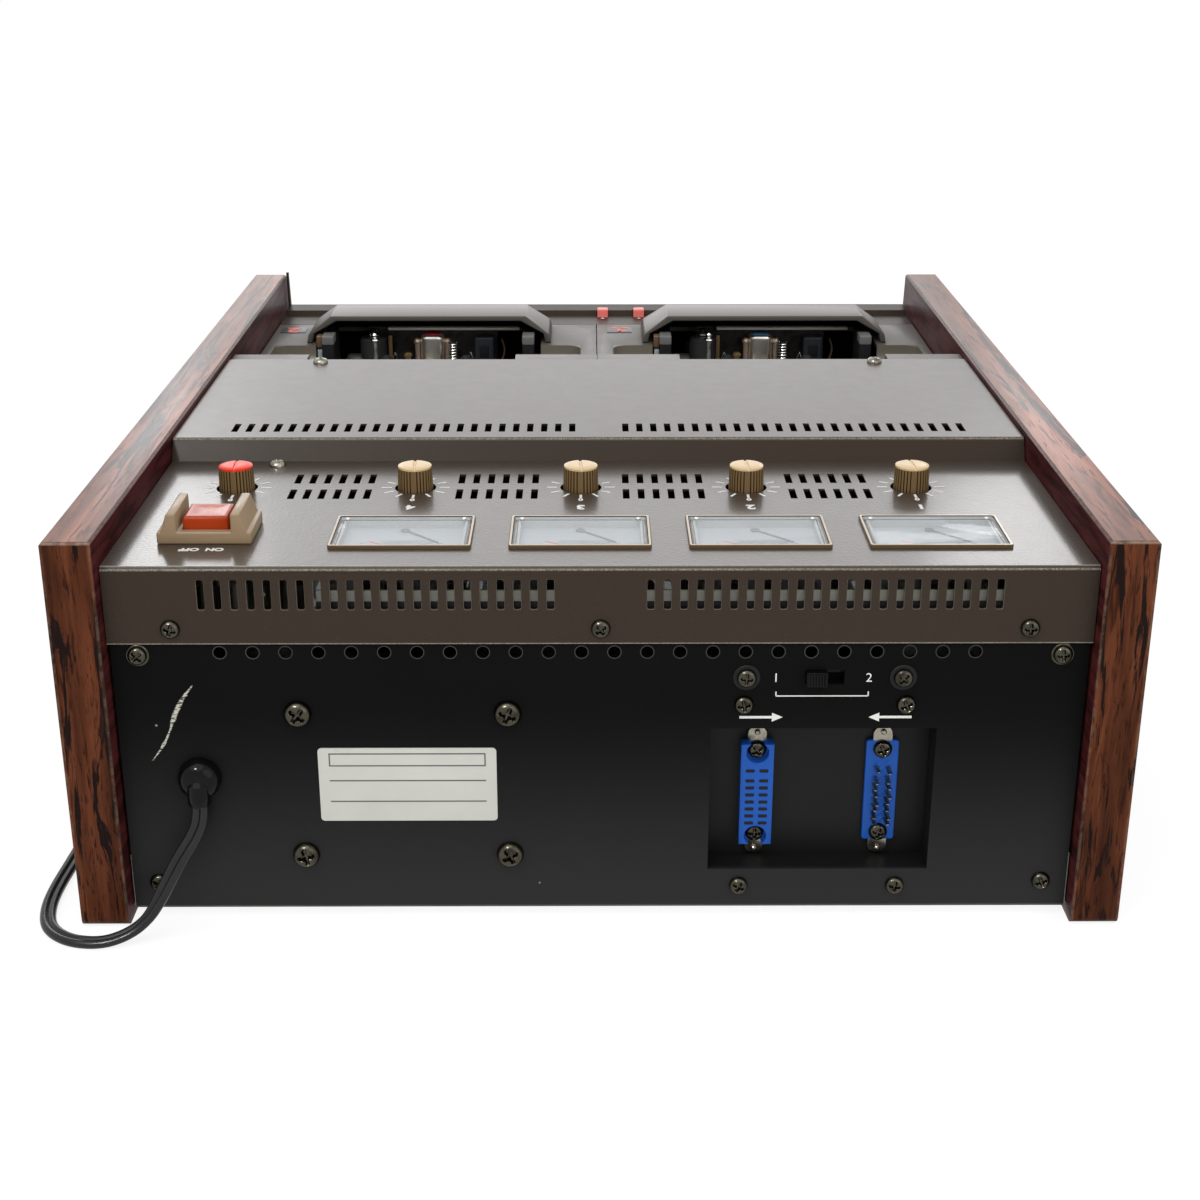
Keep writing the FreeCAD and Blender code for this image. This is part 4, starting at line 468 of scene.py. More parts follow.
def laminated_core():
    """Steel laminations round a taped winding, for the power transformer."""
    low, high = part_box("power_transformer")
    finish = Finish("laminated_core", (0.09, 0.09, 0.095), 0.45, 0.6)
    at = finish.split()
    layers = finish.calc("SINE", finish.times(at[1], 2 * math.pi / (0.7 * MM)))
    half = (high.z - low.z) / 2
    reach = finish.size_of(finish.less(at[2], (high.z + low.z) / 2))
    tape = finish.band(reach, half - 0.0098, half - 0.0096)
    steel = finish.mix(finish.spread(layers, 0.0, 1.0), (0.05, 0.05, 0.055), (0.14, 0.14, 0.145))
    finish.set("Base Color", finish.mix(tape, steel, (0.33, 0.2, 0.04)))
    finish.bump(layers, 0.0001, 0.4)
    return finish.material


def circuit_laminate():
    """Green laminate with copper tracks under the lacquer and pale solder lands."""
    finish = Finish("circuit_laminate", (0.05, 0.12, 0.05), 0.4, coat_weight=0.3)
    grid = finish.add("TexBrick", {"Vector": finish.mapped(scale=(70, 70, 70)), "Scale": 2.0,
                                   "Mortar Size": 0.05, "Color1": (0.04, 0.1, 0.035, 1),
                                   "Color2": (0.055, 0.14, 0.05, 1), "Mortar": (0.14, 0.17, 0.05, 1)})
    lands = finish.add("TexVoronoi", {"Vector": finish.place, "Scale": 210.0})
    finish.set("Base Color", finish.mix(finish.band(lands.outputs["Distance"], 0.16, 0.1),
                                        grid.outputs[0], (0.5, 0.5, 0.46)))
    finish.bump(grid.outputs["Fac"], 0.00006, 0.5)
    return finish.material


# ------------------------------------------------------------------ forms
# A form is a pair: an array of points and a list of faces.
def quads(rows, columns, wrap=False):
    """Faces between neighbouring rows and columns; wrap joins the last column to the first."""
    row = np.arange(rows - 1)[:, None] * columns
    column = np.arange(columns if wrap else columns - 1)[None, :]
    beside = (column + 1) % columns
    faces = np.stack([row + column, row + beside, row + columns + beside, row + columns + column], -1)
    return faces.reshape(-1, 4).tolist()


def stacked(levels):
    """A surface through closed outlines, one above the other, with a cap at either end; levels is
    (count, around, 3)."""
    count, around = levels.shape[:2]
    faces = quads(count, around, wrap=True)
    faces.append(list(range(around))[::-1])
    faces.append(list(range((count - 1) * around, count * around)))
    return levels.reshape(-1, 3), faces


def hollow(levels):
    """A closed surface round a hole: outlines joined one to the next, and the last to the first."""
    count, around = levels.shape[:2]
    faces = quads(count, around, wrap=True)
    last = (count - 1) * around
    faces += [[last + i, last + (i + 1) % around, (i + 1) % around, i] for i in range(around)]
    return levels.reshape(-1, 3), faces


def rounded_outline(width, depth, radius, arc=6):
    """Four corner arcs: middle of the corner plus radius (cos t, sin t), counter-clockwise."""
    turn = np.linspace(0, math.pi / 2, arc)[None, :] + np.arange(4)[:, None] * math.pi / 2
    side_x, side_y = np.array([1, -1, -1, 1]), np.array([1, 1, -1, -1])
    x = (side_x * (width / 2 - radius))[:, None] + radius * np.cos(turn)
    y = (side_y * (depth / 2 - radius))[:, None] + radius * np.sin(turn)
    return np.stack([x.ravel(), y.ravel()], 1)


def levelled(outlines, heights):
    """Plane outlines given their heights."""
    outlines = np.asarray(outlines)
    heights = np.broadcast_to(np.asarray(heights, float)[:, None, None], (*outlines.shape[:2], 1))
    return np.concatenate([outlines, heights], 2)


def soft_block(size, edge, corner):
    """A block on z = 0. Its outline shrinks along a quarter circle at both ends: inset edge (1 - sin t),
    height edge (1 - cos t)."""
    width, depth, tall = size
    turn = np.linspace(0, math.pi / 2, 5)
    insets = np.concatenate([edge * (1 - np.sin(turn)), edge * (1 - np.sin(turn[::-1]))])
    heights = np.concatenate([edge * (1 - np.cos(turn)), tall - edge * (1 - np.cos(turn[::-1]))])
    outlines = [rounded_outline(width - 2 * i, depth - 2 * i, max(corner - i, corner * 0.3)) for i in insets]
    return stacked(levelled(outlines, heights))


def turned(profile, around):
    """A lathe form: (r cos t, r sin t, z) for each (r, z) of the profile, from low to high."""
    profile = np.asarray(profile, float)
    turn = np.arange(around) * 2 * math.pi / around
    radius, height = profile[:, 0, None], profile[:, 1, None]
    return stacked(np.stack([radius * np.cos(turn), radius * np.sin(turn), height + 0 * turn], 2))


def turned_ring(profile, around):
    """A lathe form round a hole: the last point of the profile is joined to the first."""
    return hollow(turned(profile, around)[0].reshape(len(profile), around, 3))


def tapped_head(radius, tall):
    """A pan head with a cross recess: z = h sqrt(1 - (r/R)^4), less a cross whose arms are
    narrow strips about the two axes, faded at their ends."""
    recess, around = 0.55, 48
    share = np.sin(np.linspace(0.03, 1, 18) * math.pi / 2)[::-1]
    turn = np.arange(around) * 2 * math.pi / around
    r = (share * radius)[:, None]
    x, y = r * np.cos(turn), r * np.sin(turn)
    dome = tall * np.sqrt(np.clip(1 - (r / radius) ** 4, 0, 1)) + 0 * turn
    arm = np.minimum(np.abs(x), np.abs(y))
    narrow = np.clip((0.17 * radius - arm) / (0.08 * radius), 0, 1)
    short = np.clip((0.66 * radius - r) / (0.16 * radius), 0, 1)
    bowl = np.clip(1 - r / (0.3 * radius), 0, 1)
    height = dome - recess * tall * np.clip(narrow * short + 0.4 * bowl, 0, 1.15)
    rim = np.stack([x[0], y[0], 0 * x[0]], 1)[None]
    return stacked(np.concatenate([rim, np.stack([x, y, height], 2)]))


def helix(radius, tall, turns, wire):
    """A round wire whose middle is (R cos t, R sin t, h t / T): rings square to the run."""
    turn = np.linspace(0, turns * 2 * math.pi, turns * 16)
    middle = np.stack([radius * np.cos(turn), radius * np.sin(turn), np.linspace(0, tall, len(turn))], 1)
    return carried(middle, round_outline(wire, 7), np.array([0, 0, 1.0]))


def round_outline(radius, around):
    """A circle: (r cos t, r sin t)."""
    turn = np.arange(around) * 2 * math.pi / around
    return np.stack([radius * np.cos(turn), radius * np.sin(turn)], 1)


def carried(path, outline, up, side=None):
    """An outline carried along a path. Each ring is middle + x side + y normal, where side is
    square to the run and to up, unless sides are given, and normal is side x run."""
    path = np.asarray(path, float)
    run = np.gradient(path, axis=0)
    run /= np.linalg.norm(run, axis=1)[:, None]
    side = np.cross(run, np.broadcast_to(up, run.shape)) if side is None else side
    side = side - (side * run).sum(1)[:, None] * run
    side /= np.linalg.norm(side, axis=1)[:, None]
    normal = np.cross(side, run)
    outline = np.broadcast_to(outline, (len(path), *outline.shape[-2:]))
    levels = path[:, None] + outline[..., :1] * side[:, None] + outline[..., 1:] * normal[:, None]
    return stacked(levels[:, ::-1])


def placed(form, at=(0, 0, 0), turn=None):
    """The form turned by a rotation matrix, then moved."""
    points, faces = form
    if turn is not None:
        points = points @ np.array(turn.to_3x3()).T
    return points + np.asarray(at, float), faces


def joined(forms):
    """Several forms as one."""
    points, faces, start = [], [], 0
    for some, some_faces in forms:
        points.append(some)
        faces += [[index + start for index in face] for face in some_faces]
        start += len(some)
    return np.concatenate(points), faces


def spun(degrees, axis="Z"):
    """A rotation matrix about one axis."""
    return Matrix.Rotation(math.radians(degrees), 3, axis)


# A form made about Z turned to stick out of the rear panel, its +Y side up, and to lie on a top face.
OUT_OF_REAR = Matrix(((-1, 0, 0), (0, 0, 1), (0, 1, 0)))
FLAT_UP = Matrix.Identity(3)


def piece(name, parts, body, stands_for=(), smooth=35):
    """One mesh object from (form, material) pairs, riding on a body. The material may be a list with one
    for each face."""
    mesh = bpy.data.meshes.new(name)
    points, faces = joined([form for form, _ in parts])
    mesh.from_pydata(points.tolist(), [], faces)
    given = [m for form, material in parts
             for m in (material if isinstance(material, list) else [material] * len(form[1]))]
    materials = list(dict.fromkeys(given))
    for material in materials:
        mesh.materials.append(material)
    mesh.polygons.foreach_set("material_index", [materials.index(m) for m in given])
    work = bmesh.new()
    work.from_mesh(mesh)
    bmesh.ops.remove_doubles(work, verts=work.verts, dist=0.000001)
    bmesh.ops.recalc_face_normals(work, faces=work.faces)
    work.to_mesh(mesh)
    work.free()
    return mounted(name, mesh, body, stands_for, smooth)


def mounted(name, mesh, body, stands_for, smooth=35):
    """Puts a finished mesh on a body and says what it stands for."""
    mesh.polygons.foreach_set("use_smooth", np.ones(len(mesh.polygons), bool))
    mesh.set_sharp_from_angle(angle=math.radians(smooth))
    mesh.update()
    made = bpy.data.objects.new(name, mesh)
    bpy.context.scene.collection.objects.link(made)
    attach(made, body)
    if stands_for:
        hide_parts(*stands_for)
    return made


def softened(name, node, material, edge, steps=2, body="case", rounder=None):
    """A copy of a model node with its sharp edges rounded. rounder holds a test of an edge's ends and
    the larger rounding for edges that pass it."""
    source = frame["nodes"][node]
    work = bmesh.new()
    work.from_mesh(source.data)
    bmesh.ops.remove_doubles(work, verts=work.verts, dist=0.00001)
    bmesh.ops.dissolve_limit(work, angle_limit=math.radians(1.5), verts=work.verts, edges=work.edges)
    rounds = [(None, edge, steps)]
    if rounder:
        passes, larger = rounder
        rounds.insert(0, ([e for e in work.edges if all(passes(v.co) for v in e.verts)], larger, 5))
    for group, offset, segments in rounds:
        sharp = [e for e in group or work.edges
                 if e.is_valid and len(e.link_faces) == 2 and e.calc_face_angle(0) > math.radians(30)]
        bmesh.ops.bevel(work, geom=sharp, offset=offset, segments=segments, profile=0.5, affect="EDGES",
                        clamp_overlap=True)
    mesh = bpy.data.meshes.new(name)
    work.to_mesh(mesh)
    work.free()
    mesh.materials.clear()
    mesh.materials.append(material)
    return mounted(name, mesh, body, [node])


def dress(nodes, material):
    """Gives model nodes a finish in place of the plain one."""
    for node in nodes:
        shown = frame["nodes"][node]
        for holder in shown.material_slots:
            holder.material = material


def lettering(text, size, at, turn, thick=None, bold=0.0):
    """Plain characters as a form, centred on a point."""
    curve = bpy.data.curves.new("mark", "FONT")
    curve.body = text
    curve.size = size
    curve.align_x = "CENTER"
    curve.align_y = "CENTER"
    curve.extrude = (thick or sizes().print_thick) / 2
    curve.offset = bold
    holder = bpy.data.objects.new("mark", curve)
    bpy.context.scene.collection.objects.link(holder)
    mesh = bpy.data.meshes.new_from_object(holder.evaluated_get(bpy.context.evaluated_depsgraph_get()))
    points = np.array([v.co for v in mesh.vertices], float).reshape(-1, 3)
    faces = [list(p.vertices) for p in mesh.polygons]
    bpy.data.objects.remove(holder)
    bpy.data.curves.remove(curve)
    bpy.data.meshes.remove(mesh)
    return placed((points, faces), at, turn)


def flat_mark(outline, at, turn, thick=None):
    """A thin printed patch with that outline."""
    outline = np.asarray(outline, float)
    half = (thick or sizes().print_thick) / 2
    return placed(stacked(levelled([outline, outline], [-half, half])), at, turn)


def stroke(start, end, width):
    """The outline of a straight stroke between two points."""
    start, end = np.array(start, float), np.array(end, float)
    run = end - start
    side = np.array([run[1], -run[0]]) / np.linalg.norm(run) * width / 2
    return [start + side, end + side, end - side, start - side]


def arc_mark(radius, start, end, width):
    """The outline of a stroke along an arc, in degrees."""
    turn = np.radians(np.linspace(start, end, 24))
    arc = np.stack([np.cos(turn), np.sin(turn)], 1)
    return np.concatenate([arc * (radius + width / 2), arc[::-1] * (radius - width / 2)])


def signed_area(outline):
    """Half the sum of x y' - y x' from each point to the next: above 0 for a counter-clockwise outline."""
    points = np.asarray(outline, float)
    after = np.roll(points, -1, 0)
    return float((points[:, 0] * after[:, 1] - points[:, 1] * after[:, 0]).sum() / 2)


# ------------------------------------------------------------------ shared finishes
shared = {}


def make_shared():
    """Finishes that more than one operator uses."""
    tones = finishes()
    flange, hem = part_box("control_cover")[1].y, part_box("control_cover")[0].z
    fold = 1.2 * MM
    # Pale lines along the cover's two bends and its hem, and the slotted cover's step: paint wear and a
    # painted highlight of each edge.
    bends = [(flange - fold, COVER_TOP, 0.0006, 0.35), (flange, COVER_TOP - fold, 0.0006, 0.7),
             (flange, hem, 0.0006, 0.4)]
    step = (inset(138.9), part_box("slotted_cover")[1].z - 0.0003, 0.0008, 0.8)
    shared.update(
        wood=rosewood(),
        paint=cover_paint("taupe_control_cover", tones.paint, 0.42, 0.5, bends, 0.00028),
        step_paint=cover_paint("taupe_slotted_cover", tones.paint, 0.12, 0.55, [step], 0.00006),
        front_paint=cover_paint("taupe_front", tinted(tones.paint, 0.95), 0.0, 0.12),
        black=plain_finish("satin_black", (0.0085, 0.0085, 0.009), 0.42, grain=900, wear=0.2,
                           specular_ior_level=0.15),
        rear=rear_black(),
        deck=plain_finish("deck_moulding", tones.deck, 0.46, grain=1500, depth=0.00005, wear=0.06,
                          lacquer=(0.05, 0.42, 0.12)),
        dark_rim=plain_finish("hole_rim", (0.045, 0.045, 0.040), 0.35, wear=0.4, specular_ior_level=0.3),
        # The slots' chamfers are painted paler: a painted highlight on the rim.
        rim=plain_finish("slot_rim", (0.17, 0.15, 0.12), 0.4, wear=0.3, specular_ior_level=0.2),
        gloss=plain_finish("gloss_black", (0.004, 0.004, 0.0043), 0.09, grain=260, depth=0.00002, wear=0.1,
                           specular_ior_level=0.13),
        matt=plain_finish("matt_black", (0.008, 0.008, 0.0085), 0.6, wear=0.25, specular_ior_level=0.2),
        nickel=plated("nickel", (0.30, 0.28, 0.23), 0.26),
        dark_nickel=plated("dark_nickel", (0.070, 0.064, 0.048), 0.22),
        bright=plated("bright_plate", (0.80, 0.79, 0.76), 0.18, stained=0.2, grain=0.000004),
        zinc=plated("zinc_sheet", (0.55, 0.56, 0.54), 0.36, brushed=(900, 30, 900)),
        gunmetal=plated("gunmetal", (0.045, 0.043, 0.040), 0.42),
        brass=plated("brass", (0.62, 0.42, 0.15), 0.25),
        bronze=plain_finish("bronze", (0.34, 0.22, 0.10), 0.3, metallic=0.4, wear=0.05),
        white=plain_finish("white_print", tones.print_white, 0.55, wear=0.05),
        coral=plain_finish("coral_print", (0.86, 0.16, 0.11), 0.5, wear=0.05),
        red=plain_finish("red_moulding", tones.red, 0.3, grain=300, wear=0.08, specular_ior_level=0.18),
        bezel=plain_finish("meter_frame", tones.bezel, 0.34, grain=900, wear=0.12, lacquer=(0.1, 0.4, 0.12)),
        rubber=plain_finish("rubber", (0.02, 0.02, 0.021), 0.75, wear=0.2),
        brown=plain_finish("brown_moulding", (0.16, 0.09, 0.045), 0.4),
        pale_blue=plain_finish("pale_blue_moulding", (0.36, 0.45, 0.48), 0.4),
        grey=plain_finish("grey_moulding", (0.18, 0.18, 0.175), 0.45, specular_ior_level=0.3),
        blue_black=plain_finish("blue_black", (0.028, 0.033, 0.043), 0.35, specular_ior_level=0.4),
        pale_metal=plain_finish("pale_metal", (0.74, 0.69, 0.61), 0.35, wear=0.05),
    )


# ------------------------------------------------------------------ operators
class DUPLICATOR_OT_camera(bpy.types.Operator):
    """Camera above and behind the case, looking at the rear panel"""

    bl_idname = "duplicator.camera"
    bl_label = "Camera"

    def execute(self, context):
        data = bpy.data.cameras.new("camera")
        data.sensor_width = 36
        data.lens = bpy.context.scene.duplicator_stage.lens
        data.clip_start, data.clip_end = 0.01, 30
        camera = bpy.data.objects.new("camera", data)
        bpy.context.scene.collection.objects.link(camera)
        yaw, pitch, roll = math.radians(0.33), math.radians(21.504), math.radians(0.037)
        look = Vector((-math.sin(yaw) * math.cos(pitch), -math.cos(yaw) * math.cos(pitch), -math.sin(pitch)))
        camera.location = (0.003894, 0.86621, 0.37884)
        camera.rotation_mode = "QUATERNION"
        rolled = Matrix.Rotation(roll, 3, "Z").to_quaternion()
        camera.rotation_quaternion = look.to_track_quat("-Z", "Y") @ rolled
        bpy.context.scene.camera = camera
        return {"FINISHED"}


# Share of the way across from the strain relief to the coil, millimetres forward of the rear edge,
# and millimetres above the floor.
CORD_ROUTE = [
    (0, 3.4, 51), (0, 3.4, 45), (0.039, 0.6, 38.8), (0.115, -2.6, 32), (0.188, -4.2, 23.5),
    (0.254, -6.2, 15.5), (0.327, -8.8, 8.4), (0.434, -11.4, 3.9), (0.579, -14.2, 1.75), (0.759, -13, 1.65),
    (0.904, -6.6, 1.65), (0.986, 3, 1.65), (1.027, 21, 1.65), (1.002, 52, 1.65), (0.973, 100, 1.65),
    (1.005, 160, 1.65), (0.989, 224, 1.65), (1, 286, 1.65), (1, 326, 1.9),
]
# Radius of each turn's start and height of its middle, in millimetres, from the first turn on.
COIL_TURNS = [(42.9, 2.1), (36.7, 2.1), (30.5, 2.1), (30.5, 5.4), (36.7, 5.4), (42.9, 5.4), (36.7, 8.7),
              (36.7, 8.7)]
TURN_POINTS = 14
COIL_REACH = 46 * MM      # from the coil's middle to its outer edge
JOIN_BACK = 14 * MM       # how far behind the coil's middle the run along the case comes to that edge
HALF_CORD = 3.1 * MM


class DUPLICATOR_OT_cord(bpy.types.Operator):
    """Flat two-core mains cord, its put-away coil with two ties, the plug and the strain relief"""

    bl_idname = "duplicator.cord"
    bl_label = "Mains cord"

    def execute(self, context):
        relief_x = centre("strain_relief").x
        coil_middle = np.array([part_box("cord_coil")[1].x - COIL_REACH, centre("cord_coil").y])
        lane_x = coil_middle[0] - math.sqrt(COIL_REACH ** 2 - JOIN_BACK ** 2) + HALF_CORD
        route = np.array(CORD_ROUTE)
        points = np.stack([relief_x + route[:, 0] * (lane_x - relief_x), REAR - route[:, 1] * MM,
                           route[:, 2] * MM], 1)

        # The coil is (R cos t, R sin t, h). R and h ease to the next turn's over the last part of each turn.
        # A spline cuts inside its points, so they stand a little further out.
        turns = np.array(COIL_TURNS) * MM
        ease, first_angle = 0.28, 161
        share = np.arange(1, (len(turns) - 1) * TURN_POINTS) / TURN_POINTS
        whole = np.floor(share).astype(int)
        blend = np.clip((share - whole - (1 - ease)) / ease, 0, 1)
        blend = blend * blend * (3 - 2 * blend)
        radius = turns[whole, 0] + (turns[whole + 1, 0] - turns[whole, 0]) * blend
        radius = radius / math.cos(math.pi / TURN_POINTS) ** 0.75
        angle = math.radians(first_angle) + share * 2 * math.pi
        coil = np.stack([coil_middle[0] + radius * np.cos(angle), coil_middle[1] + radius * np.sin(angle),
                         turns[whole, 1] + (turns[whole + 1, 1] - turns[whole, 1]) * blend], 1)

        plug_low, plug_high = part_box("power_plug")
        plug_x, plug_z = (plug_low.x + plug_high.x) / 2, plug_low.z + 0.007
        rise = np.array([(plug_x - 0.001, plug_high.y + 0.012, plug_z - 0.0032),
                         (plug_x, plug_high.y + 0.005, plug_z), (plug_x, plug_high.y - 0.004, plug_z)])
        points = np.concatenate([points, coil[:-1], rise])
        middle = self.smooth_line(points)
        self.two_core_tube(middle)
        plug = self.plug(plug_x, plug_high.y, plug_z)
        relief = self.relief(relief_x)
        ties = self.ties(coil_middle)
        return {"FINISHED"}

    def smooth_line(self, points):
        """Points along the route's own smooth spline."""
        data = bpy.data.curves.new("route", "CURVE")
        data.dimensions = "3D"
        data.resolution_u = 8
        spline = data.splines.new("NURBS")
        spline.points.add(len(points) - 1)
        spline.points.foreach_set("co", np.concatenate([points, np.ones((len(points), 1))], 1).ravel())
        spline.order_u = 3
        spline.use_endpoint_u = True
        holder = bpy.data.objects.new("route", data)
        bpy.context.scene.collection.objects.link(holder)
        line = bpy.data.meshes.new_from_object(holder.evaluated_get(bpy.context.evaluated_depsgraph_get()))
        middle = np.array([v.co for v in line.vertices], float)
        bpy.data.objects.remove(holder)
        bpy.data.curves.remove(data)
        bpy.data.meshes.remove(line)
        return middle

    def two_core_tube(self, middle):
        """Two round cores side by side with a groove between: half height is the larger of
        sqrt(r^2 - (|x| - c)^2) and the web. The width turns from across the rear panel to level."""
        half_width, half_thick = sizes().core_width / 2, sizes().core_thick / 2
        turn = np.arange(28) * 2 * math.pi / 28
        x = half_width * np.cos(turn)
        tall = np.sqrt(np.clip(half_thick ** 2 - (np.abs(x) - (half_width - half_thick)) ** 2, 0, None))
        web = np.where(np.abs(x) < half_width * 0.5, half_thick * 0.5, 0)
        outline = np.stack([x, np.sign(np.sin(turn)) * np.maximum(tall, web)], 1)
        run = np.gradient(middle, axis=0)
        run /= np.linalg.norm(run, axis=1)[:, None]
        travelled = np.concatenate([[0], np.cumsum(np.linalg.norm(np.diff(middle, axis=0), axis=1))])
        level = np.clip((travelled - 0.015) / 0.035, 0, 1)[:, None]
        side = (1 - level) * np.array([1.0, 0, 0]) + level * np.cross(run, [0, 0, 1.0])
        finish = Finish("cord_sheath", (0.010, 0.010, 0.011), 0.3, specular_ior_level=0.3)
        cloud = finish.noise(60, 3)
        finish.set("Base Color", finish.mix(cloud, (0.007, 0.007, 0.008), (0.016, 0.016, 0.018)))
        finish.set("Roughness", finish.spread(finish.noise(180, 3), 0.18, 0.30))
        finish.bump(finish.noise(400, 2), 0.00004, 0.4)
        self.sheath = finish.material
        form = carried(middle, outline, None, side)
        self.tube = piece("mains_cord", [(form, self.sheath)], "case",
                          ["power_cord", "cord_coil"], smooth=50)

    def plug(self, x, back, z):
        """A flat two-blade plug: rounded outlines that swell from the cord to the face, and two blades
        that narrow at their tips."""
        share = np.linspace(0, 1, 26)
        width = 0.0088 + (0.019 - 0.0088) * np.clip(share / 0.42, 0, 1) ** 1.6
        thick = 0.0062 + (0.0135 - 0.0062) * np.clip(share / 0.5, 0, 1) ** 1.5
        grip = 1 - 0.05 * np.clip(np.sin(share * 46) * (share > 0.45) * (share < 0.85), 0, 1)
        end = np.sqrt(np.clip(1 - np.clip((share - 0.94) / 0.0601, 0, 1) ** 2 * 0.2, 0, 1))
        outlines = [rounded_outline(w * g * e, t * g * e, 0.45 * min(w, t) * g * e, 7)
                    for w, t, g, e in zip(width, thick, grip, end)]
        long = 0.030
        forward = Matrix(((1, 0, 0), (0, 0, -1), (0, 1, 0)))
        body = placed(stacked(levelled(outlines, share * long)), (x, back, z), forward)
        outline = rounded_outline(0.0063, 0.0015, 0.0006, 4)
        blade = stacked(levelled([outline * (narrow, 1) for narrow in (1, 1, 1, 0.82, 0.5)],
                                 np.array([0, 0.55, 0.85, 0.95, 1.0]) * 0.017))
        upright = Matrix(((0, 1, 0), (0, 0, -1), (-1, 0, 0)))
        blades = [placed(blade, (x + sign * 0.00635, back - long, z), upright) for sign in (-1, 1)]
        shell = piece("plug_body", [(body, self.sheath)], "case", ["power_plug"])
        pins = piece("plug_blades", [(joined(blades), shared["bright"])], "case",
                     ["power_plug"])
        return [shell, pins]

    def relief(self, x):
        """A domed grommet on the rear panel with a hooded mouth that lets the cord out downwards."""
        low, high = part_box("strain_relief")
        level = high.z - 0.0082
        dome = turned([(0.0071, -0.0075), (0.0071, -0.0016), (0.0059, -0.0015), (0.0059, 0), (0.0080, 0),
                       (0.0082, 0.0004), (0.0082, 0.0024), (0.0077, 0.0040), (0.0066, 0.0055),
                       (0.0050, 0.0066), (0.0030, 0.0071), (0.0010, 0.0072), (0.0001, 0.0072)], 56)
        dome = placed(dome, (x, PANEL_FACE, level), OUT_OF_REAR)
        mouth = turned([(0.0030, 0.0), (0.0040, 0.0), (0.0044, 0.0006), (0.0045, 0.004), (0.0042, 0.0085),
                        (0.0022, 0.0105), (0.0001, 0.0108)], 32)
        mouth = placed(mouth, (x, inset(3.4), low.z))
        return piece("grommet", [(dome, shared["gloss"]), (mouth, shared["gloss"])], "case",
                     ["strain_relief"])

    def ties(self, middle):
        """Two flat ties round the bundle: rounded loops standing across the turns."""
        outer = rounded_outline(0.0206, 0.0106, 0.0035)
        inner = rounded_outline(0.0198, 0.0098, 0.0031)
        ring = hollow(levelled([outer, outer, inner, inner], np.array([-1, 1, 1, -1]) * 0.002))
        lifted = placed(ring, (0.0367, 0, 0.0053), Matrix(((1, 0, 0), (0, 0, 1), (0, 1, 0))))
        forms = [placed(lifted, (*middle, 0), spun(degrees)) for degrees in (20, -75)]
        return piece("coil_ties", [(joined(forms), shared["matt"])], "case", smooth=30)


class DUPLICATOR_OT_cabinet(bpy.types.Operator):
    """Wooden side panels, painted covers, rear panel and base pan"""

    bl_idname = "duplicator.cabinet"
    bl_label = "Cabinet"

    def execute(self, context):
        for side in SIDES:
            softened(f"side_veneer_{side}", f"side_panel_{side}", shared["wood"], 0.0009,
                     rounder=(lambda at: at.z < 0.0002, 0.0032))
        dress(["control_cover"], shared["paint"])
        dress(["slotted_cover"], shared["step_paint"])
        dress(["front_panel"], shared["front_paint"])
        self.slot_rims()
        self.hole_rims()
        dress(["rear_panel"], shared["rear"])
        dress(["base_pan"], shared["zinc"])
        dress(["connector_recess"], shared["black"])
        dress(["rating_plate"], rating_foil())
        return {"FINISHED"}

    def slot_rims(self):
        """Rims that round the ends of the rear slots: outlines joined from the slot's wall over a chamfer,
            painted paler as a highlight, into the round-ended opening."""
        outer, mouth, throat = (rounded_outline(w * MM, h * MM, r * MM, 7) for w, h, r in (
            (3.18, 11.98, 0.02), (2.98, 11.78, 0.85), (2.72, 11.52, 0.75)))
        ring = hollow(levelled([outer, mouth, throat, throat, outer],
                               np.array([0.04, 0.04, -0.12, -1.1, -1.1]) * MM))
        tones = [tone for tone in ("paint", "rim", "paint", "paint", "paint") for _ in outer]
        flange, level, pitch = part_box("control_cover")[1].y, 133.4, 6
        rims = [placed(ring, ((side * 81.1 + (i - 10.5) * pitch) * MM, flange, level * MM), OUT_OF_REAR)
                for side in (-1, 1) for i in range(22)]
        piece("slot_rims", [(joined(rims), [shared[tone] for tone in tones] * len(rims))], "case",
              smooth=30)

    def hole_rims(self):
        """Dull grey rings round the vent holes of the rear panel: a profile turned about each hole."""
        mouth, outer, proud = 2.32 * MM, 2.62 * MM, 0.08 * MM
        ring = turned_ring([(mouth, 0), (mouth, proud), (outer, proud), (outer, 0)], 40)
        rims = [placed(ring, ((1 + (i - 11.5) * 12) * MM, PANEL_FACE, 110.5 * MM), OUT_OF_REAR)
                for i in range(24)]
        piece("hole_rims", [(joined(rims), shared["dark_rim"])], "case", smooth=30)


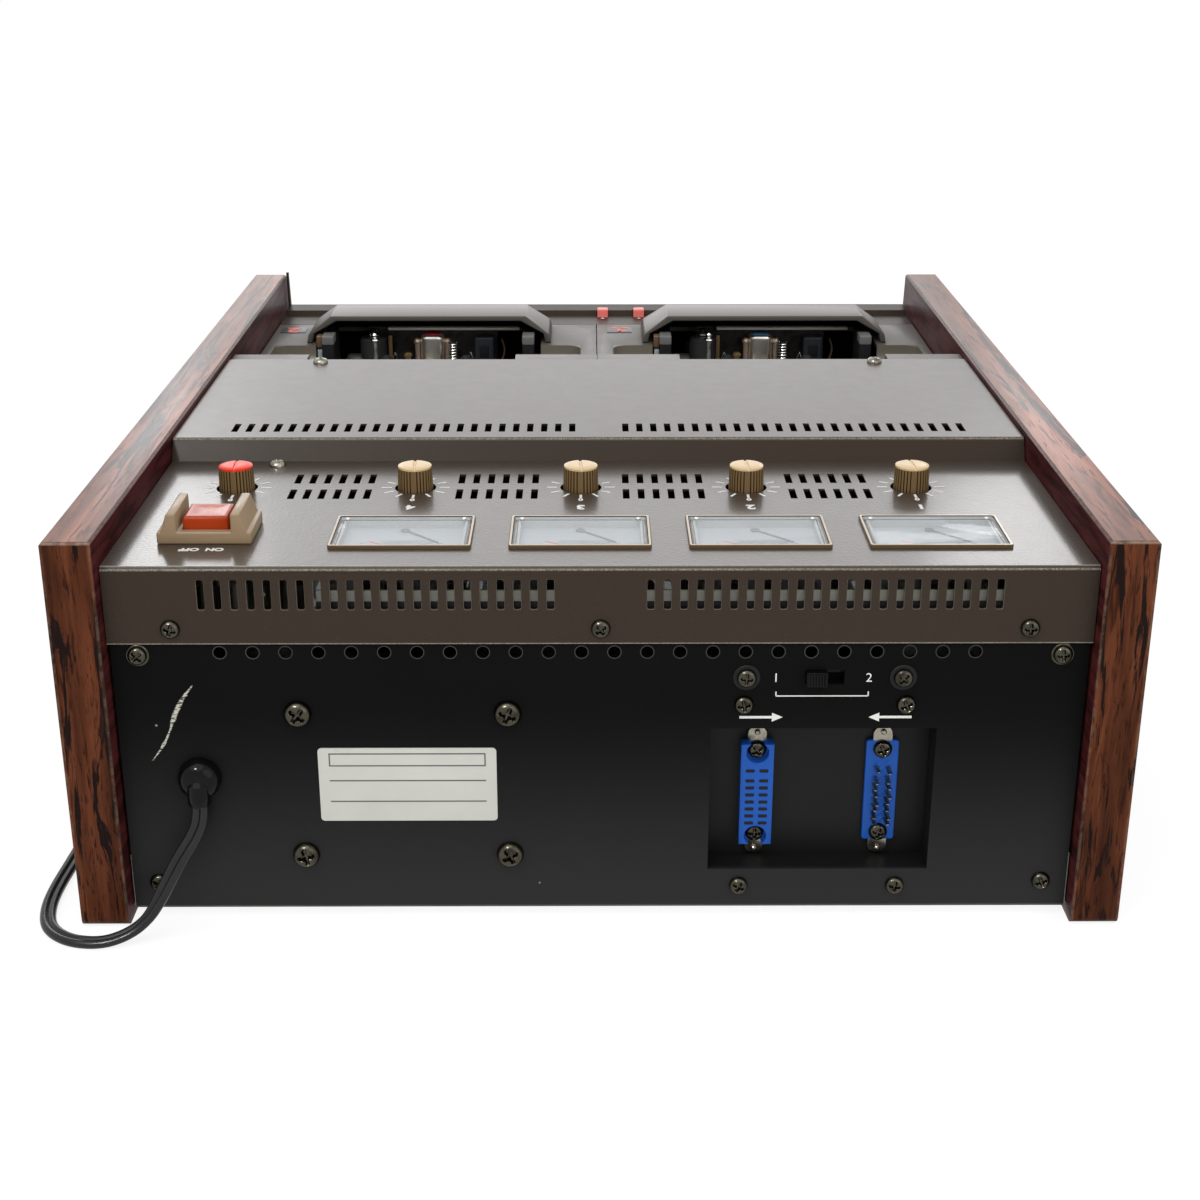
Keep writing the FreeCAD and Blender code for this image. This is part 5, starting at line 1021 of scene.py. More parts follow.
class DUPLICATOR_OT_screws(bpy.types.Operator):
    """Pan-head screws with cross recesses, and the washers under some of them"""

    bl_idname = "duplicator.screws"
    bl_label = "Screws"

    def execute(self, context):
        seat = PANEL_FACE
        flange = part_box("control_cover")[1].y
        latch_seat = inset(19.3)
        small, bolt = (0.0036, 0.0023), (0.0052, 0.0034)
        bare, pale_washer, dark_washer = 0, 0.0043, 0.0050
        rows = [(x, 0.1202, flange, small, bare) for x in (-0.156, 0, 0.156)]
        rows += [(x, 0.0151, seat, small, bare) for x in (-0.169, 0.169)]
        rows += [(x, 0.1096, seat, small, pale_washer) for x in (-0.169, 0.169)]
        rows += [(CONNECTOR_X + s * 0.030, z, seat, small, bare) for s in (-1, 1) for z in (0.0132, 0.0894)]
        rows += [(-0.0824 + s * 0.0288, 0.1003, seat, small, dark_washer) for s in (-1, 1)]
        rows += [(0.0732 + a * 0.0388, 0.0565 + b * 0.0295, seat, bolt, bare)
                 for a in (-1, 1) for b in (-1, 1)]
        rows += [(CONNECTOR_X + x, CONNECTOR_Z + b * 0.0177, latch_seat, small, bare)
                 for x in LATCH_X for b in (-1, 1)]
        heads, shanks, washers, dark_washers = [], [], [], []
        for number, (x, z, face, (radius, tall), washer) in enumerate(rows):
            turn = OUT_OF_REAR @ spun(37 * number % 90)
            lift = 0.0006 if washer else 0.0
            heads.append(placed(tapped_head(radius, tall - lift * 0.5), (x, face + lift, z), turn))
            shank = turned([(radius * 0.5, -0.0055), (radius * 0.52, 0.0001)], 14)
            shanks.append(placed(shank, (x, face, z), OUT_OF_REAR))
            if washer:
                ring = turned([(0.0019, 0), (washer, 0), (washer, 0.0004), (washer - 0.0003, 0.0006),
                               (0.0019, 0.0006)], 36)
                group = washers if washer == pale_washer else dark_washers
                group.append(placed(ring, (x, face, z), OUT_OF_REAR))
        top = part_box("slotted_cover")[1].z
        upward = ((0.1343, inset(266.6), top), (-0.1343, inset(266.6), top),
                  (0.1343, inset(127.9), COVER_TOP))
        bright_heads = [placed(tapped_head(*small), at, spun(20)) for at in upward]
        shanks += [placed(turned([(0.0018, -0.0055), (0.0019, 0.0001)], 14), at) for at in upward]
        piece("screw_set", [(joined(heads), shared["dark_nickel"]), (joined(bright_heads), shared["nickel"]),
                            (joined(shanks), shared["zinc"]), (joined(washers), shared["dark_nickel"]),
                            (joined(dark_washers), shared["matt"])],
              "case", ["screws"], smooth=28)
        return {"FINISHED"}


class DUPLICATOR_OT_connectors(bpy.types.Operator):
    """Two multi-pin connectors with latch tabs, dark contact slots and plated blades"""

    bl_idname = "duplicator.connectors"
    bl_label = "Connectors"

    def execute(self, context):
        blue = plain_finish("connector_blue", finishes().connector, 0.36, wear=0.1, specular_ior_level=0.25)
        softened("socket_moulding", "socket_connector", blue, 0.0003)
        wall = inset(21.5)
        levels = [CONNECTOR_Z - 0.012 + i * 0.003 for i in range(8)]
        levels[-1] += 0.0012
        socket_x, face = centre("socket_connector").x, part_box("socket_connector")[1].y
        slot = soft_block((0.0034, 0.0013, 0.0003), 0.0001, 0.0004)
        slots = [placed(slot, (socket_x + s * 0.0026, face - 0.00015, z), OUT_OF_REAR)
                 for s in (-1, 1) for z in levels]
        piece("socket_contacts", [(joined(slots), shared["matt"])], "case")

        pin_x = centre("pin_connector").x
        body = soft_block((0.0124, 0.0424, 0.0022), 0.0004, 0.0012)
        tail = placed(soft_block((0.009, 0.027, 0.0082), 0.0003, 0.0006), (0, 0, -0.0082))
        bar = carried(np.array([[-0.0026, -0.0022, 0], [0.0026, 0.0022, 0]]), round_outline(0.00035, 8),
                      np.array([0, 0, 1.0]))
        parts = [placed(joined([body, tail]), (pin_x, wall, CONNECTOR_Z), OUT_OF_REAR)]
        parts += [placed(bar, (pin_x, wall + 0.0021, CONNECTOR_Z - 0.0135 + i * 0.0027), OUT_OF_REAR)
                  for i in range(11)]
        blade = stacked(levelled([rounded_outline(0.0018 * n, 0.0006 * n, 0.0002, 3) for n in (1, 1, 0.6)],
                                 [-0.001, 0.0078, 0.0086]))
        pins = []
        for s in (-1, 1):
            for number, z in enumerate(levels):
                lean = spun(3 * math.sin(number * 2.3 + s), "X") @ spun(3 * math.cos(number * 1.7 + s), "Y")
                pins.append(placed(blade, (pin_x + s * 0.0024, wall, z), OUT_OF_REAR @ lean))
        piece("pin_moulding", [(joined(parts), blue), (joined(pins), shared["nickel"])], "case",
              ["pin_connector"])

        outline = rounded_outline(0.0074, 0.0120, 0.0035, 8)
        tab = stacked(levelled([outline * 0.97, outline, outline, outline * 0.94],
                               [0, 0.0003, 0.0012, 0.0014]))
        stud = turned([(0.0011, 0), (0.0011, 0.0008), (0.0007, 0.0012), (0.0001, 0.0013)], 16)
        tabs = []
        for x in LATCH_X:
            for sign in (-1, 1):
                for form, out, up in ((tab, 0.0007, 0.0209), (stud, 0.0021, 0.0249)):
                    at = (CONNECTOR_X + x, wall + out, CONNECTOR_Z + sign * up)
                    tabs.append(placed(form, at, OUT_OF_REAR))
        piece("latch_tabs", [(joined(tabs), shared["nickel"])], "case")
        return {"FINISHED"}


class DUPLICATOR_OT_slide_switch(bpy.types.Operator):
    """Ribbed slider of the rear slide switch"""

    bl_idname = "duplicator.slide_switch"
    bl_label = "Slide switch"

    def execute(self, context):
        dress(["slide_switch"], shared["gloss"])
        low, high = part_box("slide_switch_knob")
        width, tall, deep = high.x - low.x, high.z - low.z, high.y - low.y
        root = soft_block((width, tall, deep - 0.0009), 0.0003, 0.0004)
        rib = soft_block((0.0007, tall * 0.94, 0.0012), 0.00025, 0.0003)
        ribs = [placed(rib, ((i - 3) * width / 7.4, 0, deep - 0.0012)) for i in range(7)]
        form = placed(joined([root, *ribs]), ((low.x + high.x) / 2, low.y, (low.z + high.z) / 2), OUT_OF_REAR)
        piece("slider", [(form, shared["gloss"])], "slide_switch_knob",
              ["slide_switch_knob"])
        return {"FINISHED"}


class DUPLICATOR_OT_marks(bpy.types.Operator):
    """Printed ticks, numbers, arrows and ON and OFF"""

    bl_idname = "duplicator.marks"
    bl_label = "Printed marks"

    def execute(self, context):
        top = COVER_TOP + sizes().print_thick
        marks = []
        for node in KNOBS:
            at = centre(node)
            for i in range(11):
                turn = math.radians(-60 + i * 30)
                way = np.array([math.cos(turn), math.sin(turn)])
                outline = stroke(way * sizes().tick_inner, way * sizes().tick_outer, 0.0010)
                marks.append(flat_mark(outline, (at.x, at.y, top), FLAT_UP))
            marks.append(lettering("0", 0.0036, (at.x, at.y + 0.0156, top), FLAT_UP, bold=0.0002))
        for i in TRACKS:
            at = centre(f"level_knob_{i}")
            marks.append(lettering(str(i), 0.0070, (at.x, inset(73.5), top), FLAT_UP, bold=0.0003))
        power = centre("power_button")
        marks.append(lettering("ON  OFF", 0.0042, (power.x, inset(25.4), top), FLAT_UP, bold=0.0002))
        for node in RED_BUTTONS:
            at = centre(node)
            outline = [(-0.0012, 0.0011), (0.0, -0.0013), (0.0012, 0.0011)]
            marks.append(flat_mark(outline, (at.x, at.y + 0.0062, DECK_TOP + sizes().print_thick), FLAT_UP))
        rear = PANEL_FACE + sizes().print_thick
        marks.append(lettering("1", 0.0050, (-0.0644, rear, 0.1000), OUT_OF_REAR))
        marks.append(lettering("2", 0.0050, (-0.0986, rear, 0.1000), OUT_OF_REAR))
        bracket = [stroke((-0.017, 0), (0.017, 0), 0.00045), stroke((-0.017, 0), (-0.017, 0.0018), 0.00045),
                   stroke((0.017, 0), (0.017, 0.0018), 0.00045)]
        marks += [flat_mark(b, (-0.0816, rear, 0.0928), OUT_OF_REAR) for b in bracket]
        arrow = [(-0.008, -0.0005), (0.004, -0.0005), (0.004, -0.0018), (0.008, 0), (0.004, 0.0018),
                 (0.004, 0.0005), (-0.008, 0.0005)]
        marks.append(flat_mark(arrow, (-0.0594, rear, 0.0842), OUT_OF_REAR))
        marks.append(flat_mark([(-x, y) for x, y in arrow][::-1], (-0.1072, rear, 0.0842), OUT_OF_REAR))
        piece("printed_marks", [(joined(marks), shared["white"])], "case", smooth=30)
        return {"FINISHED"}


class DUPLICATOR_OT_knobs(bpy.types.Operator):
    """Fluted knobs with slotted caps, each on its own body"""

    bl_idname = "duplicator.knobs"
    bl_label = "Knobs"

    def execute(self, context):
        tones = finishes()
        skirt = plain_finish("knob_skirt", tones.knob, 0.36, grain=600, wear=0.1, specular_ior_level=0.25)
        cap = plain_finish("knob_cap", tones.knob_cap, 0.3, grain=300, wear=0.04, specular_ior_level=0.35)
        # The flutes are painted dark and dull: painted shade in the grooves.
        groove = plain_finish("knob_groove", tinted(tones.knob, 0.3), 0.5, wear=0.1, specular_ior_level=0.1)
        skirt_foot, pointer_foot = 0.139, 0.1405
        for node in KNOBS:
            low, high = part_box(node)
            at = ((low.x + high.x) / 2, (low.y + high.y) / 2, 0)
            top = shared["red"] if node == "master_knob" else cap
            body, deep = self.skirt(skirt_foot, high.z - 0.0011)
            rib = soft_block((0.0011, 0.0007, high.z - 0.0012 - pointer_foot), 0.0002, 0.0003)
            pointer = placed(rib, (0, 0.0068, pointer_foot))
            parts = [(placed(body, at), [groove if d else skirt for d in deep]),
                     (placed(turned([(0.003, low.z), (0.003, skirt_foot + 0.0002)], 24), at), shared["zinc"]),
                     (placed(pointer, at), skirt),
                     (placed(self.cap(high.z), at, spun(3)), top)]
            piece(f"{node}_turned", parts, node, [node], smooth=32)
        return {"FINISHED"}

    def skirt(self, low, high):
        """A tapered skirt: radius R less a depth inside narrow flutes, where cos(n t) is near 1.
        Also tells which faces lie in a flute."""
        around = sizes().flutes * 8
        turn = np.arange(around) * 2 * math.pi / around
        flute = np.clip(np.cos((turn + math.pi / around) * sizes().flutes) * 2.2 - 0.7, 0, 1)
        share = np.array([0, 0.04, 0.5, 0.93, 1.0])
        radius = np.array([0.0070, 0.0072, 0.00705, 0.0069, 0.00665])
        r = radius[:, None] - sizes().flute_depth * flute * np.array([0.6, 1, 1, 1, 0.4])[:, None]
        z = (low + share * (high - low))[:, None] + 0 * turn
        form = stacked(np.stack([r * np.cos(turn), r * np.sin(turn), z], 2))
        deep = np.tile((flute + np.roll(flute, -1)) > 0.9, len(share) - 1).tolist() + [False, False]
        return form, deep

    def cap(self, top):
        """A crowned disc with a soft rim and a groove straight across it."""
        radius, around = 0.0067, 120
        share = np.sin(np.linspace(0.01, 1, 26) * math.pi / 2)[::-1]
        turn = np.arange(around) * 2 * math.pi / around
        r = (share * radius)[:, None]
        x, y = r * np.cos(turn), r * np.sin(turn)
        crown = top - 0.0006 * (r / radius) ** 5 + 0 * turn
        groove = np.clip((0.00055 - np.abs(x)) / 0.00015, 0, 1)
        levels = np.stack([x, y, crown - 0.00045 * groove], 2)
        rim = np.stack([x[0], y[0], np.full(around, top - 0.0013)], 1)[None]
        return stacked(np.concatenate([rim, levels]))


class DUPLICATOR_OT_meters(bpy.types.Operator):
    """Meter bezels, windows, dial plates with their scales, and needles"""

    bl_idname = "duplicator.meters"
    bl_label = "Level meters"

    def execute(self, context):
        tones = finishes()
        self.frames()
        dress(["meter_cases"], plain_finish("meter_case", (0.5, 0.52, 0.53), 0.4))
        needle = plain_finish("needle_paint", (0.20, 0.21, 0.23), 0.4)
        dress([f"meter_needle_{i}" for i in TRACKS], needle)
        dial = Finish("dial_paper", tones.dial, 0.5)
        # A soft dark patch a little to the rear of each dial's middle: painted shade where the movement lies
        # under the dial.
        at = dial.split()
        pitch = 0.0666
        from_meter = dial.calc("WRAP", dial.less(at[0], METER_X[0]), pitch / 2, -pitch / 2)
        across = dial.less(from_meter, -0.002)
        along = dial.less(at[1], METER_Y + 0.0055)
        reach = dial.most(dial.over(dial.size_of(across), 0.0110), dial.over(dial.size_of(along), 0.0062))
        cloud = dial.times(dial.band(reach, 1.05, 0.7), dial.spread(dial.noise(180, 3), 0.2, 0.75))
        paper = dial.mix(dial.noise(30, 3), tinted(tones.dial, 0.86), tinted(tones.dial, 1.08))
        dial.set("Base Color", dial.mix(cloud, paper, (0.16, 0.19, 0.22)))
        dial.bump(dial.noise(900, 2), 0.00002, 0.4)
        ink = plain_finish("dial_ink", (0.10, 0.11, 0.13), 0.5)
        plates, marks, over = [], [], []
        plate = soft_block((0.0466, 0.0282, 0.0002), 0.00005, 0.0004)
        level, thick, radius = 0.1412, 0.00003, 0.0168
        for i in TRACKS:
            x, y = joint_place(f"meter_needle_{i}_swing")[:2]
            plates.append(placed(plate, (x, METER_Y, level + 0.00003)))
            top = level + 0.00024
            for part, start, end, width in ((marks, 62, 135, 0.0003), (over, 42, 62, 0.0008)):
                part.append(flat_mark(arc_mark(radius, start, end, width), (x, y, top), FLAT_UP, thick))
            for degrees, text in ((135, "20"), (117, "10"), (99, "5"), (80, "3"), (62, "0"), (42, "3")):
                way = np.array([math.cos(math.radians(degrees)), math.sin(math.radians(degrees))])
                where = over if degrees < 60 else marks
                tick = stroke(way * radius, way * 0.0185, 0.0003)
                where.append(flat_mark(tick, (x, y, top), FLAT_UP, thick))
                where.append(lettering(text, 0.0022, (x + way[0] * 0.0202, y + way[1] * 0.0202, top),
                                       spun(degrees - 90), thick))
        piece("dial_plates", [(joined(plates), dial.material), (joined(marks), ink),
                              (joined(over), shared["red"])], "case")
        return {"FINISHED"}

    def frames(self):
        """Frames: outlines carried from the outer edge over the top to the inner edge, with a bright
        inner chamfer. Windows: clear plates with softened edges, and two studs each."""
        line = plain_finish("frame_line", (0.52, 0.40, 0.28), 0.3, wear=0.1, lacquer=(0.2, 0.5, 0.4))
        outer = rounded_outline(0.0528, 0.0344, 0.0010, 4)
        inner = rounded_outline(0.0494, 0.0310, 0.0008, 4)
        share = np.array([0, 0, 0.14, 0.60, 0.80, 1.0])
        height = np.array([0, 0.0010, 0.0013, 0.0013, 0.0010, 0])
        frame_form = hollow(levelled([outer + (inner - outer) * k for k in share], height))
        pale = plain_finish("frame_liner", (0.42, 0.43, 0.43), 0.3)
        bezel = shared["bezel"]
        ring_tones = [tone for tone in (bezel, bezel, line, shared["matt"], pale, bezel) for _ in outer]
        window = soft_block((0.0490, 0.0306, 0.0012), 0.0002, 0.0008)
        stud = turned([(0.0009, 0), (0.0009, 0.0004), (0.0006, 0.0007), (0.0001, 0.0008)], 16)
        frames = [placed(frame_form, (x, METER_Y, COVER_TOP)) for x in METER_X]
        windows = [placed(window, (x, METER_Y, COVER_TOP - 0.0002)) for x in METER_X]
        studs = [placed(stud, (x + s * 0.0222, METER_Y - 0.0130, COVER_TOP + 0.001))
                 for x in METER_X for s in (-1, 1)]
        piece("meter_frames", [(joined(frames), ring_tones * len(frames))], "case",
              ["meter_bezels"], smooth=25)
        piece("meter_windows", [(joined(windows), clear_glass())], "case", ["meter_glasses"])
        piece("meter_studs", [(joined(studs), shared["bright"])], "case")


class DUPLICATOR_OT_power(bpy.types.Operator):
    """Power push button between the two ears of its guard"""

    bl_idname = "duplicator.power"
    bl_label = "Power switch"

    def execute(self, context):
        guard = plain_finish("guard_moulding", finishes().guard, 0.4, grain=900, wear=0.06,
                             lacquer=(0.1, 0.5, 0.15))
        softened("power_guard", "power_switch", guard, 0.0006)
        low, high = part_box("power_button")
        width, deep, tall = high.x - low.x, high.y - low.y, high.z - low.z
        orange = plain_finish("orange_moulding", finishes().orange, 0.27, grain=300, wear=0.1,
                              lacquer=(0.0, 0.34, 0.12))
        share = np.array([0, 0.02, 0.88, 0.93, 0.97, 0.99, 1.0, 1.0, 0.985, 0.975])
        insets = np.array([0.0003, 0, 0, 0.0002, 0.0005, 0.0009, 0.0013, 0.0017, 0.0034, 0.0060])
        outlines = [rounded_outline(width - 2 * i, deep - 2 * i, max(0.0009 - i, 0.0003)) for i in insets]
        at = ((low.x + high.x) / 2, (low.y + high.y) / 2, low.z)
        form = placed(stacked(levelled(outlines, share * tall)), at)
        piece("power_key", [(form, orange)], "power_button", ["power_button"], smooth=40)
        return {"FINISHED"}


class DUPLICATOR_OT_deck(bpy.types.Operator):
    """Deck mouldings, finger scoops, hoods, guide posts and number insets"""

    bl_idname = "duplicator.deck"
    bl_label = "Deck"

    def execute(self, context):
        for side in SIDES:
            softened(f"deck_moulding_{side}", f"deck_panel_{side}", shared["deck"], 0.0005)
        hood = Finish("hood_moulding", finishes().deck, 0.42).lacquer(0.12, 0.6, 0.12)
        # Painted shade: the hoods' downward faces are painted near black, as the shade under their edges.
        under = hood.band(hood.normal()[2], -0.1, -0.4)
        hood.set("Base Color", hood.mix(under, tinted(finishes().deck, 1.05), (0.01, 0.01, 0.01)))
        hood.bump(hood.noise(1500, 2), 0.00005, 0.4)
        softened("hood_covers", "head_hoods", hood.material, 0.0006)
        tan = plain_finish("scoop_moulding", (0.19, 0.165, 0.13), 0.35, wear=0.08, specular_ior_level=0.4)
        self.scoops(tan)
        self.posts()
        self.insets()
        return {"FINISHED"}

    def scoops(self, material):
        """Liners of the finger scoops. Each level is half of a rounded outline, shrunk by r (1 - cos t)
        and sunk by r sin t down to the floor."""
        long, wide, deep, bend, thick = 0.0215, 0.0386, 0.0119, 0.0085, 0.00015
        turn = np.linspace(0, math.pi / 2, 8)
        insets = np.concatenate([[0, 0, 0], bend * (1 - np.cos(turn[1:])), [0.0125, 0.0165]])
        depths = np.concatenate([[0, 0, deep - bend], deep - bend + bend * np.sin(turn[1:]), [deep] * 2])
        sheets = []
        for out in (0, thick):
            rows = []
            for number, (shrink, depth) in enumerate(zip(insets - out, depths + out)):
                corner = max(0.0075 - shrink, 0.0005) if number else 0.0001
                full = rounded_outline(2 * (long - shrink), wide - 2 * shrink, corner, 8)
                half = np.concatenate([full[24:], full[:8]])
                ring = np.concatenate([[[0.0, half[0, 1]]], half, [[0.0, half[-1, 1]]]])
                rows.append(np.concatenate([ring, np.full((len(ring), 1), -depth)], 1))
            sheets.append(np.array(rows))
        shell = np.concatenate([sheets[0], sheets[1][::-1]])
        count, across = shell.shape[:2]
        # The two floors are closed by a face each and a seam, in place of the quads between them. The rim
        # and the straight edge then join the two sheets.
        each, last = count // 2, (count - 1) * across
        floor = each * across
        faces = [face for face in quads(count, across) if min(face) // across != each - 1]
        faces += [list(range(floor - across, floor)), list(range(floor, floor + across)),
                  [floor - across, floor - 1, floor + across - 1, floor]]
        faces += [[i + 1, i, last + i, last + i + 1] for i in range(across - 1)]
        for column in (0, across - 1):
            faces += [[last - i * across + column, i * across + column, (i + 1) * across + column,
                       last - (i + 1) * across + column] for i in range(each - 1)]
        points, forms = shell.reshape(-1, 3), []
        for side, sign in SIDES.items():
            for flip in (-sign, sign):
                at = (WELL_X[side] + flip * 0.0612, inset(357.5), DECK_TOP + 0.00002)
                forms.append((points * (flip, 1, 1) + at, faces))
        tones = [shared["deck"]] * (across - 1) + [material] * (len(faces) - across + 1)
        piece("scoop_liners", [(joined(forms), tones * len(forms))], "case", smooth=50)

    def posts(self):
        """Cassette guide posts: dark stems with grey tops, and two colour blocks on one post of each well."""
        low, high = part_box("guide_posts")
        y, deep = (low.y + high.y) / 2, high.y - low.y
        stem = soft_block((0.0064, deep - 0.0002, high.z - 0.0006 - low.z), 0.0005, 0.0006)
        top = soft_block((0.0065, 0.0110, 0.0048), 0.0006, 0.0008)
        brown = soft_block((0.0030, 0.006, 0.0062), 0.0004, 0.0005)
        blue = soft_block((0.0026, 0.005, 0.0100), 0.0003, 0.0004)
        posts = [well + way * POST_REACH for well in WELL_X.values() for way in (-1, 1)]
        stems = [placed(stem, (x, y, low.z)) for x in posts]
        tops = [placed(top, (x, y + deep / 2 - 0.0055, high.z - 0.0048)) for x in posts]
        browns = [placed(brown, (x + 0.0048, y + 0.008, high.z - 0.0066)) for x in posts[1::2]]
        blues = [placed(blue, (x + 0.0046, y + 0.0085, high.z - 0.0178)) for x in posts[1::2]]
        piece("post_set", [(joined(stems), shared["matt"]), (joined(tops), shared["grey"]),
                           (joined(browns), shared["brown"]), (joined(blues), shared["pale_blue"])],
              "case", ["guide_posts"])

    def insets(self):
        """Black number insets with their coral figures: 2 as a character, and 1 as three strokes."""
        left, right, y, face, thick = -0.0128, 0.1695, inset(412), DECK_TOP + 0.00035, 0.0001
        plate = soft_block((0.0140, 0.0120, 0.0003), 0.0001, 0.0012)
        plates = [placed(plate, (x, y, DECK_TOP)) for x in (right, left)]
        digits = [lettering("2", 0.0150, (right, y, face), FLAT_UP, thick, bold=0.0005)]
        for start, end in (((-0.0048, -0.0042), (0.0048, -0.0042)), ((0, -0.0042), (0, 0.0048)),
                           ((0.0004, 0.0044), (-0.0036, 0.0020))):
            digits.append(flat_mark(stroke(start, end, 0.0022), (left, y, face), FLAT_UP, thick))
        piece("number_insets", [(joined(plates), shared["blue_black"]), (joined(digits), shared["coral"])],
              "case")


class DUPLICATOR_OT_heads(bpy.types.Operator):
    """Head carriages: chrome play head, erase head, azimuth spring, arm, bar and wires"""

    bl_idname = "duplicator.heads"
    bl_label = "Tape heads"

    def execute(self, context):
        dress(["head_carriage_left", "head_carriage_right"], shared["gunmetal"])
        chrome = plated("head_chrome", (0.92, 0.88, 0.82), 0.30, stained=0.05, grain=0.000001)
        rose = plain_finish("rose_plate", (0.55, 0.42, 0.32), 0.3, metallic=0.5, wear=0.05)
        label = {"right": plain_finish("red_label", (0.62, 0.02, 0.05), 0.4),
                 "left": plain_finish("blue_label", (0.05, 0.35, 0.62), 0.4)}
        ear = turned([(0.0014, 0), (0.0014, 0.0102), (0.0019, 0.0106), (0.0019, 0.0122), (0.0012, 0.0132),
                      (0.0001, 0.0135)], 20)
        stud = turned([(0.0016, 0), (0.0016, 0.0040), (0.0023, 0.0042), (0.0023, 0.0052), (0.0014, 0.0062),
                       (0.0001, 0.0064)], 20)
        spring = helix(0.0023, 0.0124, 8, 0.00032)
        pillar = turned([(0.0011, 0), (0.0011, 0.0126)], 14)
        mount = soft_block((0.032, 0.0149, 0.0054), 0.0005, 0.0012)
        plate = soft_block((0.0092, 0.0052, 0.0006), 0.0002, 0.0010)
        erase = soft_block((0.011, 0.008, 0.0200), 0.0010, 0.0014)
        window = soft_block((0.0052, 0.0008, 0.0070), 0.0002, 0.0003)
        for side, well in WELL_X.items():
            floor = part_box(f"tape_heads_{side}")[0].z
            top = floor + 0.0055
            parts = self.set_out(well, [
                (mount, 0, 401.5, floor, shared["dark_nickel"]),
                (self.can(), 0, 401, top, chrome),
                (plate, 0, 405.2, top + 0.0150, label[side]),
                (ear, -0.0084, 403.5, top, rose),
                (ear, 0.0084, 403.5, top, rose),
                (stud, 0.0135, 399, top, shared["bronze"]),
                (spring, -0.012, 397.3, top + 0.0003, shared["bright"]),
                (pillar, -0.012, 397.3, top, shared["nickel"]),
                (erase, -0.0290, 404, floor, shared["blue_black"]),
                (window, -0.0290, 400.1, floor + 0.0085, shared["matt"]),
            ])
            piece(f"head_group_{side}", parts, f"head_carriage_{side}", [f"tape_heads_{side}"])
            self.arm(side, well, floor)
        return {"FINISHED"}

    def set_out(self, well, rows):
        """Forms placed by their X from the well's middle, millimetres forward of the rear edge, and Z."""
        return [(placed(form, (well + x, inset(forward), z)), material)
                for form, x, forward, z, material in rows]

    def can(self):
        """A head can: rounded outlines whose rear face, where the tape runs, bows out by a cosine,
        drawn in along a quarter circle at the top."""
        outline = rounded_outline(0.0140, 0.0084, 0.0036, 10)
        bow = np.where(outline[:, 1] > 0.002, 0.0010 * np.cos(outline[:, 0] / 0.0070 * math.pi / 2), 0)
        outline = outline + np.stack([0 * bow, bow - 0.0047], 1)
        turn = np.linspace(0, math.pi / 2, 7)
        scale = np.concatenate([[0.97, 1, 1], 1 - 0.30 * (1 - np.cos(turn[1:]))])
        height = np.concatenate([[0, 0.0003, 0.0128], 0.0128 + 0.0025 * np.sin(turn[1:])])
        middle = outline.mean(0)
        return stacked(levelled([middle + (outline - middle) * s for s in scale], height))

    def arm(self, side, well, floor):
        """The roller's arm: a dark yoke beside the roller, a pale bar along the front of the heads, and two
        wires bent like an inverted V."""
        parts = self.set_out(well, [
            (soft_block((0.073, 0.0042, 0.0014), 0.0002, 0.0003), -0.012, 407, 0.1362, shared["pale_metal"]),
            (soft_block((0.0185, 0.0075, 0.0150), 0.0010, 0.0016), 0.0326, 413.2, floor, shared["black"]),
            (soft_block((0.0034, 0.0120, 0.0012), 0.0003, 0.0005), 0.0326, 404.5, 0.1341, shared["zinc"]),
            (soft_block((0.0130, 0.0080, 0.0085), 0.0028, 0.0030), 0.0425, 409, floor, shared["grey"]),
            (soft_block((0.0022, 0.0012, 0.0196), 0.0003, 0.0004), 0.0237, 406, floor, shared["bronze"]),
        ])
        rearward = np.array([0, 1.0, 0])
        share = np.linspace(0, 1, 12)
        hook = np.stack([well - 0.0385 - 0.0016 * np.sin(share * math.pi), np.full(12, inset(405)),
                         floor + 0.0060 + 0.0120 * share], 1)
        parts.append((carried(hook, rounded_outline(0.0008, 0.0030, 0.0003, 3), rearward), shared["brown"]))
        share = np.linspace(-1, 1, 15)
        drop = floor + 0.0118 - 0.0085 * np.abs(share) ** 1.2
        for x in (well - 0.0215, well + 0.0205):
            path = np.stack([x + share * 0.0026, np.full(15, inset(398.5)), drop], 1)
            parts.append((carried(path, round_outline(0.00035, 8), rearward), shared["bright"]))
        piece(f"roller_arm_{side}", parts, f"head_carriage_{side}")


